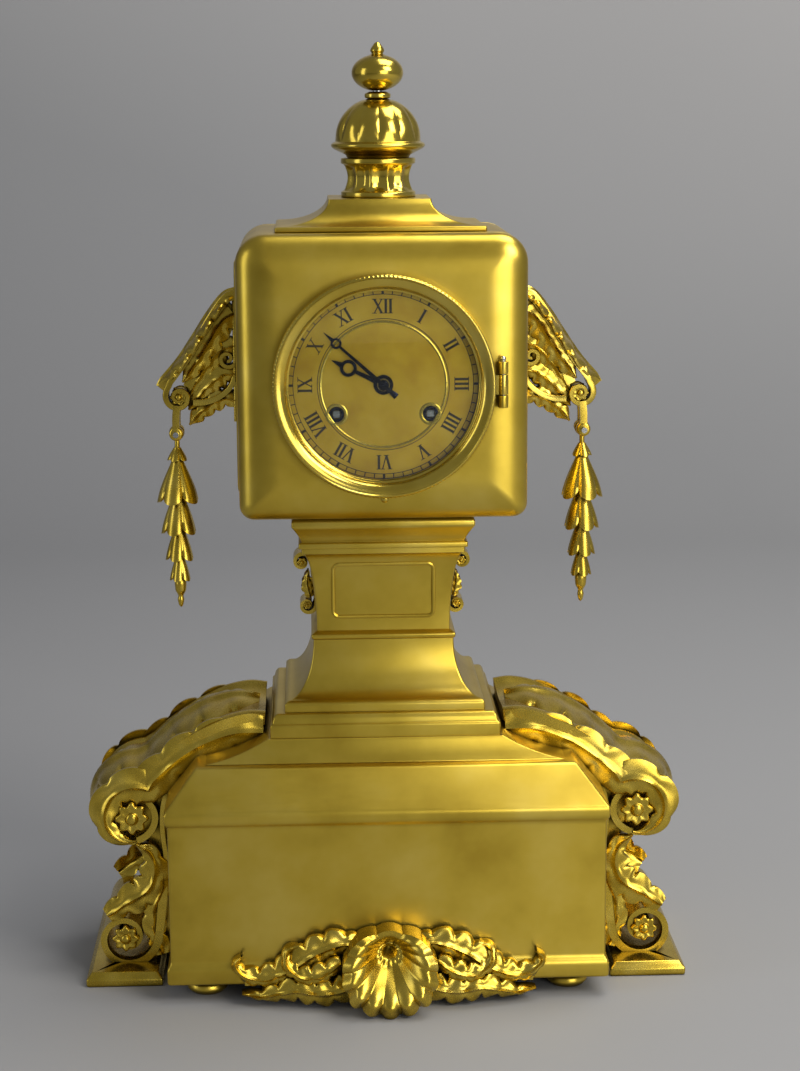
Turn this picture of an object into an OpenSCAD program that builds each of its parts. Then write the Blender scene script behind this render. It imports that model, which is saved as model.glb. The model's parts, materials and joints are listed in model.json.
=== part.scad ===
// Gilt brass mantel clock: a square lantern case on a waisted pedestal and a broad scrolled base.
// Millimetres, +Z up, the dial faces -Y, and the origin is the middle of the footprint on the floor.

/* [Base] */
// Width of the base block
block_w = 184; // [172:1:200]
// Depth of the base block
block_d = 124; // [118:1:134]
// Height of the block's upright faces
block_h = 74; // [68:1:84]
// Gap between the floor and the block
block_lift = 8; // [7:0.5:11]
// Wall of the cast base and its plinth
base_wall = 3; // [2.5:0.5:4]
// Height of the bevelled cap of the block
cap_h = 16; // [12:1:20]
// Inset of the bevelled cap on each side
cap_inset = 13; // [10:1:15]
// Height of the sloped neck above the cap
neck_h = 10; // [7:1:14]
// Width of the plinth slab under the pedestal
plinth_w = 96; // [90:1:104]
// Depth of the plinth slab
plinth_d = 84; // [80:1:88]
// Thickness of the plinth slab
plinth_h = 10; // [8:1:13]
// Largest radius of a turned foot
foot_r = 9; // [7:0.5:10]
// How far each side scroll stands out from the block
scroll_out = 36; // [32:1:42]
// How far the leafy front mount stands out from the block
apron_out = 30; // [26:1:33]

/* [Pedestal] */
// Height of the flared pedestal foot
flare_h = 31; // [26:1:36]
// Width of the flared foot at its bottom
flare_w = 84; // [80:1:88]
// Depth of the flared foot at its bottom
flare_d = 76; // [72:1:78]
// Inset from the flared foot to the waist, on each side
waist_inset = 14; // [11:1:16]
// Height of the pedestal shaft above the waist
shaft_h = 37; // [32:1:42]
// Spread of the shaft from the waist to the collar, on each side
shaft_spread = 6; // [4:0.5:8]
// Wall of the pedestal
pedestal_wall = 3; // [2.5:0.5:4]
// Height of the moulded collar under the case
collar_h = 14; // [12:1:17]
// How far the collar spreads beyond the shaft on each side
collar_spread = 4; // [2:0.5:6]

/* [Case] */
// Width of the lantern case
case_w = 118; // [112:1:122]
// Least height of the lantern case; a longer pendulum makes it taller
case_h = 116; // [115:1:124]
// Depth of the lantern case
case_d = 94; // [93:1:102]
// Wall of the case
case_wall = 3; // [2.5:0.25:3.5]
// Radius of the upright edges of the case
edge_r = 9; // [6:0.5:10]
// Radius of the rounded top edges of the case
top_r = 12; // [9:0.5:13]
// Radius of the bottom edges of the case
bottom_r = 6; // [5:0.5:8]
// Drop of the dial's middle below the middle of the case
dial_drop = 2; // [1:0.5:4]
// Radius of the round openings in the front and the back
opening_r = 40.5; // [40.5:0.25:41.5]
// Outer radius of the bezel and of the ring of the back door
bezel_r = 45; // [44.5:0.5:46]
// How far the bezel stands proud of the case
bezel_t = 9; // [8:0.5:10]

/* [Roof and finial] */
// Height of the hollow-moulded roof
roof_h = 13; // [11:1:16]
// Inset of the roof's eaves from the sides of the case
eaves_inset = 16; // [14:0.5:18]
// Width of the square top of the roof
roof_top_w = 42; // [38:1:46]
// Height of the fluted stem
stem_h = 16; // [13:1:20]
// Largest radius of the fluted stem
stem_r = 15.5; // [14:0.5:17]
// Largest radius of the finial urn
urn_r = 19.5; // [17:0.5:21]
// Height of the finial urn
urn_h = 24; // [21:1:28]
// Radius of the finial ball
ball_r = 10.7; // [9:0.1:12]

/* [Handles and drops] */
// How far each handle stands out from the case
handle_out = 33; // [30:1:37]
// Half the thickness of a handle's scroll
handle_half = 9; // [8:0.5:11]
// Length of a hanging husk drop below its pin
drop_len = 76; // [68:1:84]
// Largest radius of a husk drop
drop_r = 8.8; // [7:0.2:10]

/* [Dial and hands] */
// Radius of the dial
dial_r = 39.5; // [39:0.25:40]
// Length of the minute hand
minute_len = 32; // [28:1:35]
// Length of the hour hand
hour_len = 23; // [19:1:26]
// Hour shown at rest
hour_shown = 9; // [1:1:12]
// Minute shown at rest
minute_shown = 52; // [0:1:59]

/* [Movement] */
// Radius of the movement plates
plate_r = 40; // [40:0.25:41]
// Thickness of a movement plate
plate_t = 2; // [1.5:0.25:2.5]
// Radius of a spring barrel
barrel_r = 15.5; // [14.5:0.25:15.75]
// Radius of the bell
bell_r = 26; // [23:0.5:26.5]
// Length from the suspension to the middle of the bob
pendulum_len = 73.4; // [68:0.2:74]
// Radius of the pendulum bob
bob_r = 11; // [9:0.5:11.5]

/* [Hidden] */
$fn = 48;

// Clearances
seat = 0.05;        // between faces that seat on each other
free = 0.3;         // between pieces that move past each other
run = 0.04;         // radial clearance of a shaft in its bore

// Levels, from the floor up
z_block = block_lift;
z_cap = z_block + block_h;
z_neck = z_cap + cap_h;
z_plinth = z_neck + neck_h;
z_flare = z_plinth + plinth_h;
z_waist = z_flare + flare_h;
z_collar = z_waist + shaft_h;
z_case = z_collar + collar_h;
anchor_rise = 36.5;
bob_gap = 3;        // least gap between the pendulum bob and the floor of the case
need_h = 2 * (dial_drop + pendulum_len - anchor_rise + bob_r + bob_gap + case_wall);
full_h = max(case_h, need_h);
z_roof = z_case + full_h;
z_stem = z_roof + roof_h;
z_urn = z_stem + stem_h;
z_bead = z_urn + urn_h;
bead_h = 3;
z_ball = z_bead + bead_h;
ball_h = 14.5;
tip_h = 5.5;
z_dial = z_case + full_h / 2 - dial_drop;

// Planes from the front to the back
y_front = -case_d / 2;
y_inside = y_front + case_wall;
dial_t = 1;
y_dial = y_inside - dial_t;
hand_t = 0.7;
y_hour_hand = y_dial - 1;
y_minute_hand = y_hour_hand - 1.6;
ring_t = 1.5;
under_dial = 11.5;
y_p1 = y_inside + ring_t + under_dial;
y_p1b = y_p1 + plate_t;
plate_gap = 30;
y_p2 = y_p1b + plate_gap;
y_p2b = y_p2 + plate_t;

// Shapes drawn in X and Z and carried along Y, drawn in Y and Z, or turned about Y
module plate_y(y0, y1) translate([0, y1, 0]) rotate([90, 0, 0]) linear_extrude(y1 - y0) children();
module plate_x(x0, x1) translate([x0, 0, 0]) rotate([90, 0, 90]) linear_extrude(x1 - x0) children();
module turned_y(y0) translate([0, y0, 0]) rotate([-90, 0, 0]) rotate_extrude() children();
module rod_y(at, r, y0, y1) plate_y(y0, y1) translate(at) circle(r);
module up_to_dial() translate([0, 0, z_dial]) children();
module both_sides() {
    children();
    mirror([1, 0, 0]) children();
}
function turned(v, a) = [v[0] * cos(a) - v[1] * sin(a), v[0] * sin(a) + v[1] * cos(a)];
function towards(a, b) = atan2(b[1] - a[1], b[0] - a[0]);
function polar(r, a) = [r * cos(a), r * sin(a)];
// Where circles round a and b meet, left of the way from a to b if side is 1, right if it is -1
function meet(a, ra, b, rb, side) =
    let (d = norm(b - a), u = (b - a) / d, s = (ra * ra - rb * rb + d * d) / (2 * d))
    a + s * u + side * sqrt(ra * ra - s * s) * [-u[1], u[0]];

module rounded(w, h, r) {
    square([w - 2 * r, h], center = true);
    square([w, h - 2 * r], center = true);
    for (x = [-1, 1], y = [-1, 1]) translate([x * (w / 2 - r), y * (h / 2 - r)]) circle(r);
}
// Outline of a symmetric shape of half width half, whose profile is a list of [inset, height]
function both(half, prof) = concat([for (p = prof) [half - p[0], p[1]]],
    [for (i = [len(prof) - 1:-1:0]) [prof[i][0] - half, prof[i][1]]]);
// Solid on a w by d plan whose four sides follow the profiles, mitred at the corners
module mitred(w, d, prof, prof_y = []) intersection() {
    plate_y(-d / 2, d / 2) polygon(both(w / 2, prof));
    plate_x(-w / 2, w / 2) polygon(both(d / 2, len(prof_y) > 0 ? prof_y : prof));
}
// Hollow curve in steps, flat at the bottom z0 and upright at the top z1
function hollow(z0, z1, in0, in1, n = 8) = [for (i = [0:n])
    [in0 + (in1 - in0) * sin(90 * i / n), z0 + (z1 - z0) * (1 - cos(90 * i / n))]];
// Hollow curve in steps, upright at the bottom z0 and flat at the top z1
function hollow_up(z0, z1, in0, in1, n = 8) = [for (i = [0:n])
    [in0 + (in1 - in0) * (1 - cos(90 * i / n)), z0 + (z1 - z0) * sin(90 * i / n)]];

// Screw along +Z with its head just under the origin, and the hole that takes it
module screw(r, long) {
    cylinder(h = long, r = r);
    translate([0, 0, -seat - 1.2 * r]) cylinder(h = 1.2 * r, r = 1.9 * r);
    translate([0, 0, -seat - r]) cylinder(h = 2 * r, r = r);
}
module hole(r, long) translate([0, 0, -1]) cylinder(h = long + 1.5, r = r + run);
side_screw_r = 1.5;
side_screw_bite = 6;
module at_scroll_screws() for (y = [-18, 18], z = [z_block + 22, z_cap - 16])
    translate([block_w / 2 - base_wall, y, z]) rotate([0, 90, 0]) children();
module at_apron_screws() for (x = [-36, 36])
    translate([x, base_wall - block_d / 2, z_block + 6]) rotate([90, 0, 0]) children();
module at_handle_screws() for (z = [z_drop + 14, z_drop + 46])
    translate([case_w / 2 - case_wall, 0, z]) rotate([0, 90, 0]) children();
module at_ring_screws() for (a = [0:90:270]) up_to_dial() rotate([0, a, 0])
    translate([ring_screw_at, y_inside + ring_t + seat, 0]) rotate([90, 0, 0]) children();
ring_screw_at = opening_r + 1.8;
ring_screw_r = 0.7;

// Base block: a hollow casting with a boss in each corner for a foot
foot_in = 16;
foot_stud_r = 2.5;
boss_r = 7;
boss_h = 14;
plate_h = 2.5;
rod_r = 2.5;
module at_feet() for (x = [-1, 1], y = [-1, 1])
    translate([x * (block_w / 2 - foot_in), y * (block_d / 2 - foot_in), 0]) children();
module base_block() color("goldenrod") difference() {
    union() {
        difference() {
            mitred(block_w, block_d, [[0, z_block], [0, z_cap], [cap_inset, z_neck - seat]]);
            mitred(block_w - 2 * base_wall, block_d - 2 * base_wall,
                [[0, z_block - 1], [0, z_cap - base_wall / 2], [cap_inset, z_neck - base_wall]]);
        }
        intersection() {
            at_feet() translate([0, 0, z_block + plate_h + seat]) linear_extrude(boss_h)
                rounded(2 * foot_in, 2 * foot_in, boss_r);
            translate([0, 0, z_block]) linear_extrude(block_h)
                square([block_w - 1, block_d - 1], center = true);
        }
    }
    at_feet() cylinder(h = z_block + plate_h + boss_h - 2, r = foot_stud_r + run);
    cylinder(h = z_neck, r = rod_r + run);
    both_sides() at_scroll_screws() hole(side_screw_r, base_wall);
    at_apron_screws() hole(side_screw_r, base_wall);
}
module base_plate() color("peru") difference() {
    translate([0, 0, z_block]) linear_extrude(plate_h)
        square([block_w - 2 * base_wall - 2 * seat, block_d - 2 * base_wall - 2 * seat], center = true);
    at_feet() cylinder(h = 3 * z_block, r = foot_stud_r + run);
    cylinder(h = 3 * z_block, r = rod_r + run);
}
module feet() color("goldenrod") at_feet() rotate_extrude()
    polygon([[0, 0], [foot_r - 2, 0], [foot_r, 2], [foot_r - 2.5, z_block - 2], [foot_r - 1, z_block - seat],
        [foot_stud_r, z_block - seat], [foot_stud_r, z_block + plate_h + boss_h - 4],
        [0, z_block + plate_h + boss_h - 4]]);

// Leafy mount under the middle of the block's front: a scalloped shell between two flat leaf scrolls
shell_r = 26;
shell_z = 26.5;
shell_rise = 7;
shell_notches = 7;
notch_r = 3;
leaf_t = 6;
leaf_half = 66;
y_mount = -block_d / 2 - seat;
apron_leaf = [[8, 4], [30, 3], [48, 6], [leaf_half, 12], [56, 18], [46, 17], [36, 22], [20, 25], [8, 26]];
module apron_mount() color("darkgoldenrod") difference() {
    intersection() {
        union() {
            translate([0, 0, shell_z]) turned_y(y_mount) polygon([[0, 0], [12, 0], [15, -6],
                [shell_r - 8, -apron_out + 7], [shell_r, -apron_out + 1], [shell_r - 2, -apron_out],
                [0, -apron_out / 2]]);
            both_sides() plate_y(y_mount - leaf_t, y_mount) {
                polygon(apron_leaf);
                translate([38, 14]) circle(8);
            }
        }
        translate([-leaf_half, y_mount - apron_out - 1, 0.6])
            cube([2 * leaf_half, apron_out + 1, shell_z + shell_rise]);
    }
    for (i = [0:shell_notches - 1]) translate([0, 0, shell_z])
        rod_y(polar(shell_r + 1.2, -150 + 120 * i / (shell_notches - 1)), notch_r, y_mount - apron_out - 1, y_mount - 8);
    at_apron_screws() hole(side_screw_r, base_wall + leaf_t - 2);
}

// Side scroll: a rolled console with a leaf that climbs the cap to the plinth, on a broad foot
scroll_half = 36;
scroll_web = 28;
scroll_foot = 44;
scroll_foot_h = 6;
upper_r = 19;
lower_r = 15;
eye_groove = 1.5;
x_side = block_w / 2 + seat;
x_reach = block_w / 2 + scroll_out;
x_plinth = plinth_w / 2 + free;
upper_at = [x_reach - upper_r, z_cap - 11];
lower_at = [x_reach - lower_r - 1, lower_r];
scroll_leaf = [[x_side, z_block + 4], [x_side, z_cap], [x_side - cap_inset, z_neck + free],
    [x_plinth + 6, z_plinth + free], [x_plinth, z_plinth + 2 * free],
    [x_plinth, z_flare - 1], [x_plinth + 15, z_flare - 3], [block_w / 2 - 2, z_neck + 7],
    [block_w / 2 + 15, z_cap + 9], [upper_at[0] + 4, upper_at[1] + upper_r - 1], upper_at,
    [lower_at[0] - 6, upper_at[1] - upper_r], [lower_at[0] - 6, lower_at[1] + 8],
    lower_at, [lower_at[0] - 10, z_block + 4]];
// Ring-shaped groove that leaves the eye of a volute standing
module eye(at, r) translate(at) difference() {
    circle(r - 4);
    circle(r / 4);
}
module side_scroll() color("darkgoldenrod") difference() {
    union() {
        plate_y(-scroll_web, scroll_web) polygon(scroll_leaf);
        plate_y(-scroll_half, scroll_half) intersection() {
            union() {
                translate(upper_at) circle(upper_r);
                translate(lower_at) circle(lower_r);
            }
            translate([x_side, 0]) square([2 * scroll_out, z_flare]);
        }
        plate_y(-scroll_foot, scroll_foot) translate([x_side + 3, 0])
            square([scroll_out - 3 - seat, scroll_foot_h]);
    }
    for (s = [-1, 1]) plate_y(s * scroll_half - eye_groove, s * scroll_half + eye_groove) {
        eye(upper_at, upper_r);
        eye(lower_at, lower_r);
    }
    at_scroll_screws() hole(side_screw_r, base_wall + side_screw_bite);
}
module side_scroll_right() side_scroll();
module side_scroll_left() mirror([1, 0, 0]) side_scroll();

// Plinth: a sloped neck on the cap, then a slab, hollow underneath
neck_w = block_w - 2 * cap_inset - 8;
neck_d = min(block_d - 2 * cap_inset - 8, plinth_d + 6);
module plinth() color("gold") difference() {
    union() {
        mitred(neck_w, neck_d, [[0, z_neck], [(neck_w - plinth_w) / 2, z_plinth]],
            [[0, z_neck], [(neck_d - plinth_d) / 2, z_plinth]]);
        mitred(plinth_w, plinth_d, [[0, z_plinth - seat], [0, z_flare - 2], [2, z_flare - seat]]);
    }
    translate([0, 0, z_neck - 1]) linear_extrude(neck_h + plinth_h + 1 - base_wall)
        rounded(plinth_w - 4 * base_wall, plinth_d - 4 * base_wall, 4);
    cylinder(h = z_flare, r = rod_r + run);
}

// Pedestal: flared foot, waist and a shaft that widens to the collar, hollow underneath
shaft_profile = hollow_up(z_waist, z_collar - 3, waist_inset, waist_inset - shaft_spread);
pedestal_profile = concat([[0, z_flare], [0, z_flare + 4]],
    hollow(z_flare + 4, z_waist - 3, 1.5, waist_inset - 1.5),
    [[waist_inset - 2, z_waist - 2.5], [waist_inset - 2, z_waist - 0.5]], shaft_profile,
    [[waist_inset - shaft_spread, z_collar - seat]]);
pedestal_hollow = concat([[waist_inset, z_flare - 1], [waist_inset, z_waist]], shaft_profile,
    [[waist_inset - shaft_spread, z_collar - pedestal_wall]]);
module pedestal() color("gold") difference() {
    mitred(flare_w, flare_d, pedestal_profile);
    mitred(flare_w - 2 * pedestal_wall, flare_d - 2 * pedestal_wall, pedestal_hollow);
    cylinder(h = z_collar, r = rod_r + run);
}
// Scroll brackets on the left and right of the shaft
bracket_half = 8;
bracket_r = 7;
module pedestal_brackets() color("darkgoldenrod") difference() {
    both_sides() plate_y(-bracket_half, bracket_half) {
        translate([flare_w / 2 - waist_inset + 3, z_collar - 11]) circle(bracket_r);
        translate([flare_w / 2 - waist_inset + 1.5, z_waist + 6]) circle(5);
        translate([flare_w / 2 - waist_inset - 2, z_waist + 3]) square([5, shaft_h - 13]);
    }
    mitred(flare_w + 2 * seat, flare_d, pedestal_profile);
}

// Collar: a stepped moulding between the shaft and the case
shaft_top_w = flare_w - 2 * (waist_inset - shaft_spread);
shaft_top_d = flare_d - 2 * (waist_inset - shaft_spread);
module collar() color("gold") difference() {
    mitred(shaft_top_w + 2 * collar_spread, shaft_top_d + 2 * collar_spread,
        concat([[collar_spread - 1, z_collar], [collar_spread - 1, z_collar + 2]],
            hollow_up(z_collar + 2, z_case - 4, collar_spread, 0),
            [[0, z_case - 2], [1.5, z_case - seat]]));
    translate([0, 0, z_collar - 1]) cylinder(h = collar_h + 2, r = rod_r + run);
}

// Case: a rounded square tube closed by a front and a back, each with a round opening
nut_r = 5;
nut_h = 3;
stud_r = 2;
split_in = 12;      // depth of the front and the back casting
// Front or side outline of the case, drawn in by g: rounded corners, wider at the top
module outline(w, g) {
    translate([-w / 2 + g, z_case + bottom_r]) square([w - 2 * g, full_h - bottom_r - top_r]);
    for (end = [[z_case + g, bottom_r - g, 1], [z_roof - g, top_r - g, -1]]) {
        translate([g + end[1] - w / 2, min(end[0], end[0] + end[2] * (end[1] + 1))])
            square([w - 2 * g - 2 * end[1], end[1] + 1]);
        for (s = [-1, 1]) translate([s * (w / 2 - g - end[1]), end[0] + end[2] * end[1]]) circle(end[1]);
    }
}
module case_solid(g) intersection() {
    translate([0, 0, z_case]) linear_extrude(full_h) rounded(case_w - 2 * g, case_d - 2 * g, edge_r - g);
    plate_y(-case_d, case_d) outline(case_w, g);
    plate_x(-case_w, case_w) outline(case_d, g);
}
module case_wrap() color("gold") difference() {
    intersection() {
        case_solid(0);
        plate_y(y_front + split_in + seat, -y_front - split_in - seat) translate([-case_w, z_case - 1])
            square([2 * case_w, full_h + 2]);
    }
    case_solid(case_wall);
    translate([0, 0, z_case - 1]) cylinder(h = case_wall + 2, r = rod_r + run);
    translate([0, 0, z_roof - case_wall - 1]) cylinder(h = case_wall + 2, r = stud_r + run);
    both_sides() at_handle_screws() hole(side_screw_r, case_wall);
}
module case_face() difference() {
    intersection() {
        case_solid(0);
        plate_y(y_front - 1, y_front + split_in) translate([-case_w, z_case - 1])
            square([2 * case_w, full_h + 2]);
    }
    case_solid(case_wall);
    up_to_dial() turned_y(y_front - 1) square([opening_r, case_wall + 2]);
    translate([0, seat, 0]) at_ring_screws() cylinder(h = ring_t + case_wall - 0.6, r = ring_screw_r + run);
}
// Hinge at the right of a ring: knuckles above and below on the case, and a pin through all
hinge_x = bezel_r + 3;
hinge_y = y_front - 2.6;
knuckle_r = 2.1;
pin_r = 1;
pin_end_r = 1.15;
tab_half = 4;
knuckle_h = 5;
module case_knuckles() for (s = [-1, 1])
    translate([hinge_x, hinge_y, z_dial + s * (tab_half + free + knuckle_h / 2)]) difference() {
        union() {
            cylinder(h = knuckle_h, r = knuckle_r, center = true);
            translate([-1.6, 0, -knuckle_h / 2]) cube([3.2, y_front - hinge_y + 0.5, knuckle_h]);
        }
        cylinder(h = knuckle_h + 2, r = pin_r + run, center = true);
    }
module case_front() color("goldenrod") {
    case_face();
    case_knuckles();
}
module case_back() color("goldenrod") mirror([0, 1, 0]) {
    case_face();
    case_knuckles();
}

// Glazed ring on the hinge, closing an opening of the case
ring_gap = 0.2;
glass_r = opening_r - 1.2;
glass_t = 1.6;
glass_in = 3.8;
lip = 1.2;
module glazed_ring() up_to_dial() {
    turned_y(y_front - ring_gap) polygon([[glass_r + seat, 0], [bezel_r, 0], [bezel_r, 2 - bezel_t],
        [bezel_r - 0.8, -bezel_t], [bezel_r - 2, -bezel_t], [glass_r + 0.8, -glass_in - 2],
        [glass_r - lip, -glass_in - 0.8], [glass_r - lip, -glass_in], [glass_r + seat, -glass_in]]);
    translate([hinge_x, hinge_y, 0]) difference() {
        union() {
            cylinder(h = 2 * tab_half, r = knuckle_r, center = true);
            translate([bezel_r - 2 - hinge_x, -1, -tab_half]) cube([hinge_x + 2 - bezel_r, 2, 2 * tab_half]);
        }
        cylinder(h = 3 * tab_half, r = pin_r + run, center = true);
    }
    translate([0, y_front - 2.5, -bezel_r]) sphere(1.5);
}
module ring_glass() up_to_dial()
    rod_y([0, 0], glass_r, y_front - ring_gap - glass_in + seat, y_front - ring_gap - glass_in + seat + glass_t);
module bezel() color("gold") glazed_ring();
module front_glass() color("lightblue", 0.3) ring_glass();
module back_door() color("gold") mirror([0, 1, 0]) glazed_ring();
module back_glass() color("lightblue", 0.3) mirror([0, 1, 0]) ring_glass();

// Roof and finial, threaded on one stud
roof_w = case_w - 2 * eaves_inset;
roof_d = case_d - 2 * eaves_inset;
eaves_h = 2;
module roof() color("gold") difference() {
    mitred(roof_w, roof_d,
        concat([[0, z_roof + seat], [0, z_roof + eaves_h]],
            hollow(z_roof + eaves_h, z_stem - seat, 1, (roof_w - roof_top_w) / 2)),
        concat([[0, z_roof + seat], [0, z_roof + eaves_h]],
            hollow(z_roof + eaves_h, z_stem - seat, 1, (roof_d - roof_top_w) / 2)));
    cylinder(h = z_urn, r = stud_r + run);
}
flutes = 12;
flute_r = 1.6;
module finial_stem() color("goldenrod") difference() {
    rotate_extrude() polygon(concat([[stud_r + run, z_stem], [stem_r, z_stem], [stem_r, z_stem + 2]],
        [for (i = [0:8]) [stem_r - 1 - 1.5 * sin(22.5 * i), z_stem + 2 + (stem_h - 4) * i / 8]],
        [[stem_r, z_urn - 2], [stem_r, z_urn - seat], [stud_r + run, z_urn - seat]]));
    for (i = [0:flutes - 1]) rotate(360 / flutes * i) translate([stem_r, 0, z_stem + 2.5])
        cylinder(h = stem_h - 5, r = flute_r);
}
// Radius of the urn at part t of its height above the rim: an onion that draws in to the bead
function onion(t) = urn_r * (1 - t) * (1 + 0.75 * t) + bead_r * t * (2 * t - 0.6);
bead_r = 4;
rim_z = z_urn + 5;
module finial_urn() color("gold") rotate_extrude()
    polygon(concat([[stud_r + run, z_urn], [stem_r - 2, z_urn], [urn_r - 1, rim_z - 1.5]],
        [for (i = [0:12]) [max(bead_r, onion(i / 12)), rim_z + (z_bead - rim_z) * i / 12]],
        [[bead_r, z_ball - seat], [stud_r + run, z_ball - seat]]));
module finial_ball() color("goldenrod") difference() {
    rotate_extrude() polygon(concat([[0, z_ball]],
        [for (i = [1:12]) [ball_r * sin(15 * i * 0.93 + 9), z_ball + ball_h * (1 - cos(15 * i)) / 2]],
        [[2.6, z_ball + ball_h + 1], [1.2, z_ball + ball_h + tip_h], [0, z_ball + ball_h + tip_h]]));
    translate([0, 0, z_ball - 1]) cylinder(h = ball_h / 2 + 1, r = stud_r + run);
}
// Threaded rods with their nuts: one holds the case on the base and ends in a round foot under the
// base plate, one holds the finial on the case
foot_nut_r = 11;
module tie_rods() color("silver") {
    cylinder(h = z_block - seat, r = foot_nut_r);
    cylinder(h = z_case + case_wall + nut_h + 2.5, r = rod_r);
    translate([0, 0, z_case + case_wall + seat]) cylinder(h = nut_h, r = nut_r, $fn = 6);
    z1 = z_roof - case_wall - seat;
    translate([0, 0, z1 - nut_h - 1]) cylinder(h = z_ball + ball_h / 2 - 0.5 - z1 + nut_h + 1, r = stud_r);
    translate([0, 0, z1 - nut_h]) cylinder(h = nut_h, r = nut_r, $fn = 6);
}

// Handles: a sloping scroll on each side of the case, with a fork that carries the drop's pin
x_case = case_w / 2 + seat;
x_drop = case_w / 2 + handle_out - 6;
z_drop = z_case + 31;
fork_gap = 3;
drop_pin_r = 1.2;
handle_h = 60;
// Outline of a handle in X from the case and Z from the drop's pin, in parts of its reach and height
handle_shape = [[0, 0.13], [0, 1], [0.17, 0.98], [0.39, 0.83], [0.61, 0.63], [0.8, 0.45], [0.97, 0.3], [1, 0.17],
    [0.93, -0.03], [0.74, -0.03], [0.64, 0.13], [0.44, 0.1]];
module handle() color("darkgoldenrod") difference() {
    plate_y(-handle_half, handle_half) polygon([for (p = handle_shape)
        [x_case + p[0] * handle_out, z_drop + p[1] * handle_h]]);
    translate([x_drop - 8, -fork_gap, z_drop - 5]) cube([18, 2 * fork_gap, 9.5]);
    rod_y([x_drop, z_drop], drop_pin_r + run, -handle_half - 1, handle_half + 1);
    at_handle_screws() hole(side_screw_r, case_wall + side_screw_bite);
}
module handle_right() handle();
module handle_left() mirror([1, 0, 0]) handle();
eye_r = 3.4;
module drop() color("gold") translate([x_drop, 0, z_drop]) {
    difference() {
        union() {
            plate_y(-fork_gap + free, fork_gap - free) circle(eye_r);
            rotate_extrude() polygon([[0, -1.8], [1.5, -2.4], [1.5, -16], [4, -18], [6, -22], [drop_r, -29],
                [drop_r - 1, -37], [5, -48], [2.5, -62], [1, 1.5 - drop_len], [0, -drop_len]]);
        }
        rod_y([0, 0], drop_pin_r + run, -fork_gap, fork_gap);
    }
}
module drop_right() drop();
module drop_left() mirror([1, 0, 0]) drop();
module hinge_pins() color("silver") {
    long = 2 * (tab_half + free + knuckle_h);
    for (s = [-1, 1]) translate([hinge_x, s * hinge_y, z_dial]) {
        translate([0, 0, -long / 2]) cylinder(h = long + pin_r, r = pin_r);
        translate([0, 0, long / 2 + pin_end_r]) sphere(pin_end_r);
    }
    both_sides() rod_y([x_drop, z_drop], drop_pin_r, -handle_half, handle_half);
}

// Dial and its seat ring behind the front of the case
hole_r = 3.2;
module dial() color("khaki") up_to_dial() difference() {
    plate_y(y_dial, y_inside) circle(dial_r);
    for (at = [at_going, at_strike]) rod_y(at, hole_r, y_dial - 1, y_inside + 1);
    rod_y([0, 0], hour_pipe_r + free, y_dial - 1, y_inside + 1);
}
module dial_ring() color("peru") difference() {
    up_to_dial() plate_y(y_inside + seat, y_inside + ring_t) difference() {
        circle(opening_r + 3.2);
        circle(dial_r - 2.5);
    }
    at_ring_screws() cylinder(h = 2 * ring_t + 1, r = ring_screw_r + run, center = true);
}
// Posts that carry the movement on the seat ring
post_r = 2.2;
post_at = plate_r - 2.8;
post_shank_r = 1.2;
post_angles = [50, 130, 205, 335];
module movement_posts() color("silver") up_to_dial() for (a = post_angles) {
    rod_y(polar(post_at, a), post_r, y_inside + ring_t + seat, y_p1 - seat);
    rod_y(polar(post_at, a), post_shank_r, y_p1 - 2, y_p1b);
}
module screws() color("silver") {
    both_sides() at_scroll_screws() screw(side_screw_r, base_wall + side_screw_bite - 1);
    both_sides() at_handle_screws() screw(side_screw_r, case_wall + side_screw_bite - 1);
    at_apron_screws() screw(side_screw_r, base_wall + leaf_t - 3);
    at_ring_screws() screw(ring_screw_r, ring_t + case_wall - 1.2);
}

// Tooth counts and modules of the trains
great_n = 84;
great_pin_n = 12;
great_m = 0.4;
inter_n = 60;
center_pin_n = 12;
inter_m = 0.45;
center_n = 84;
third_pin_n = 7;
center_m = 0.33;
third_n = 84;
escape_pin_n = 7;
third_m = 0.3;
escape_n = 46;
escape_r = 8;
cannon_n = 12;
minute_n = 36;
cannon_m = 0.5;
minute_pin_n = 10;
hour_n = 40;
hour_m = 0.48;
second_n = 72;
pin_pin_n = 8;
second_m = 0.34;
pin_n = 60;
fly_pin_n = 6;
pin_m = 0.3;
ratchet_n = 24;
ratchet_r = 6;
function spacing(n1, n2, m) = (n1 + n2) * m / 2;

// Places of the arbors in X and Z from the middle of the dial
at_center = [0, 0];
at_going = [19, -12];
at_strike = [-19, -12];
at_inter = meet(at_center, spacing(inter_n, center_pin_n, inter_m), at_going,
    spacing(great_n, great_pin_n, great_m), -1);
at_escape = [0, 24];
at_third = meet(at_center, spacing(center_n, third_pin_n, center_m), at_escape,
    spacing(third_n, escape_pin_n, third_m), -1);
at_anchor = [0, anchor_rise];
at_minute = [0, -spacing(cannon_n, minute_n, cannon_m)];
at_second = at_strike + polar(spacing(great_n, great_pin_n, great_m), 79.5);
at_pin = at_second + polar(spacing(second_n, pin_pin_n, second_m), 79.5);
at_fly = at_pin + polar(spacing(pin_n, fly_pin_n, pin_m), 150);
at_hammer = [-31, 5];
at_bell = [0, -4];
pillar_at = 36;
pillar_angles = [-90, 28, 68, 152];
pillar_r = 2.5;
pillar_end_r = 1.5;

// Levels of the wheels
wheel_t = 1.2;
y_drum = y_p1b + 1.5;
drum_h = 12;
strike_extra = 2.3;
y_great = y_drum + drum_h;
y_third = y_great + 2.9;
y_inter = y_third + 2.9;
y_center = y_inter + 4.1;
y_escape = y_p2 - 4;
y_pin = y_p1b + 9;
y_ratchet = y_p1 - 2.2;

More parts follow.
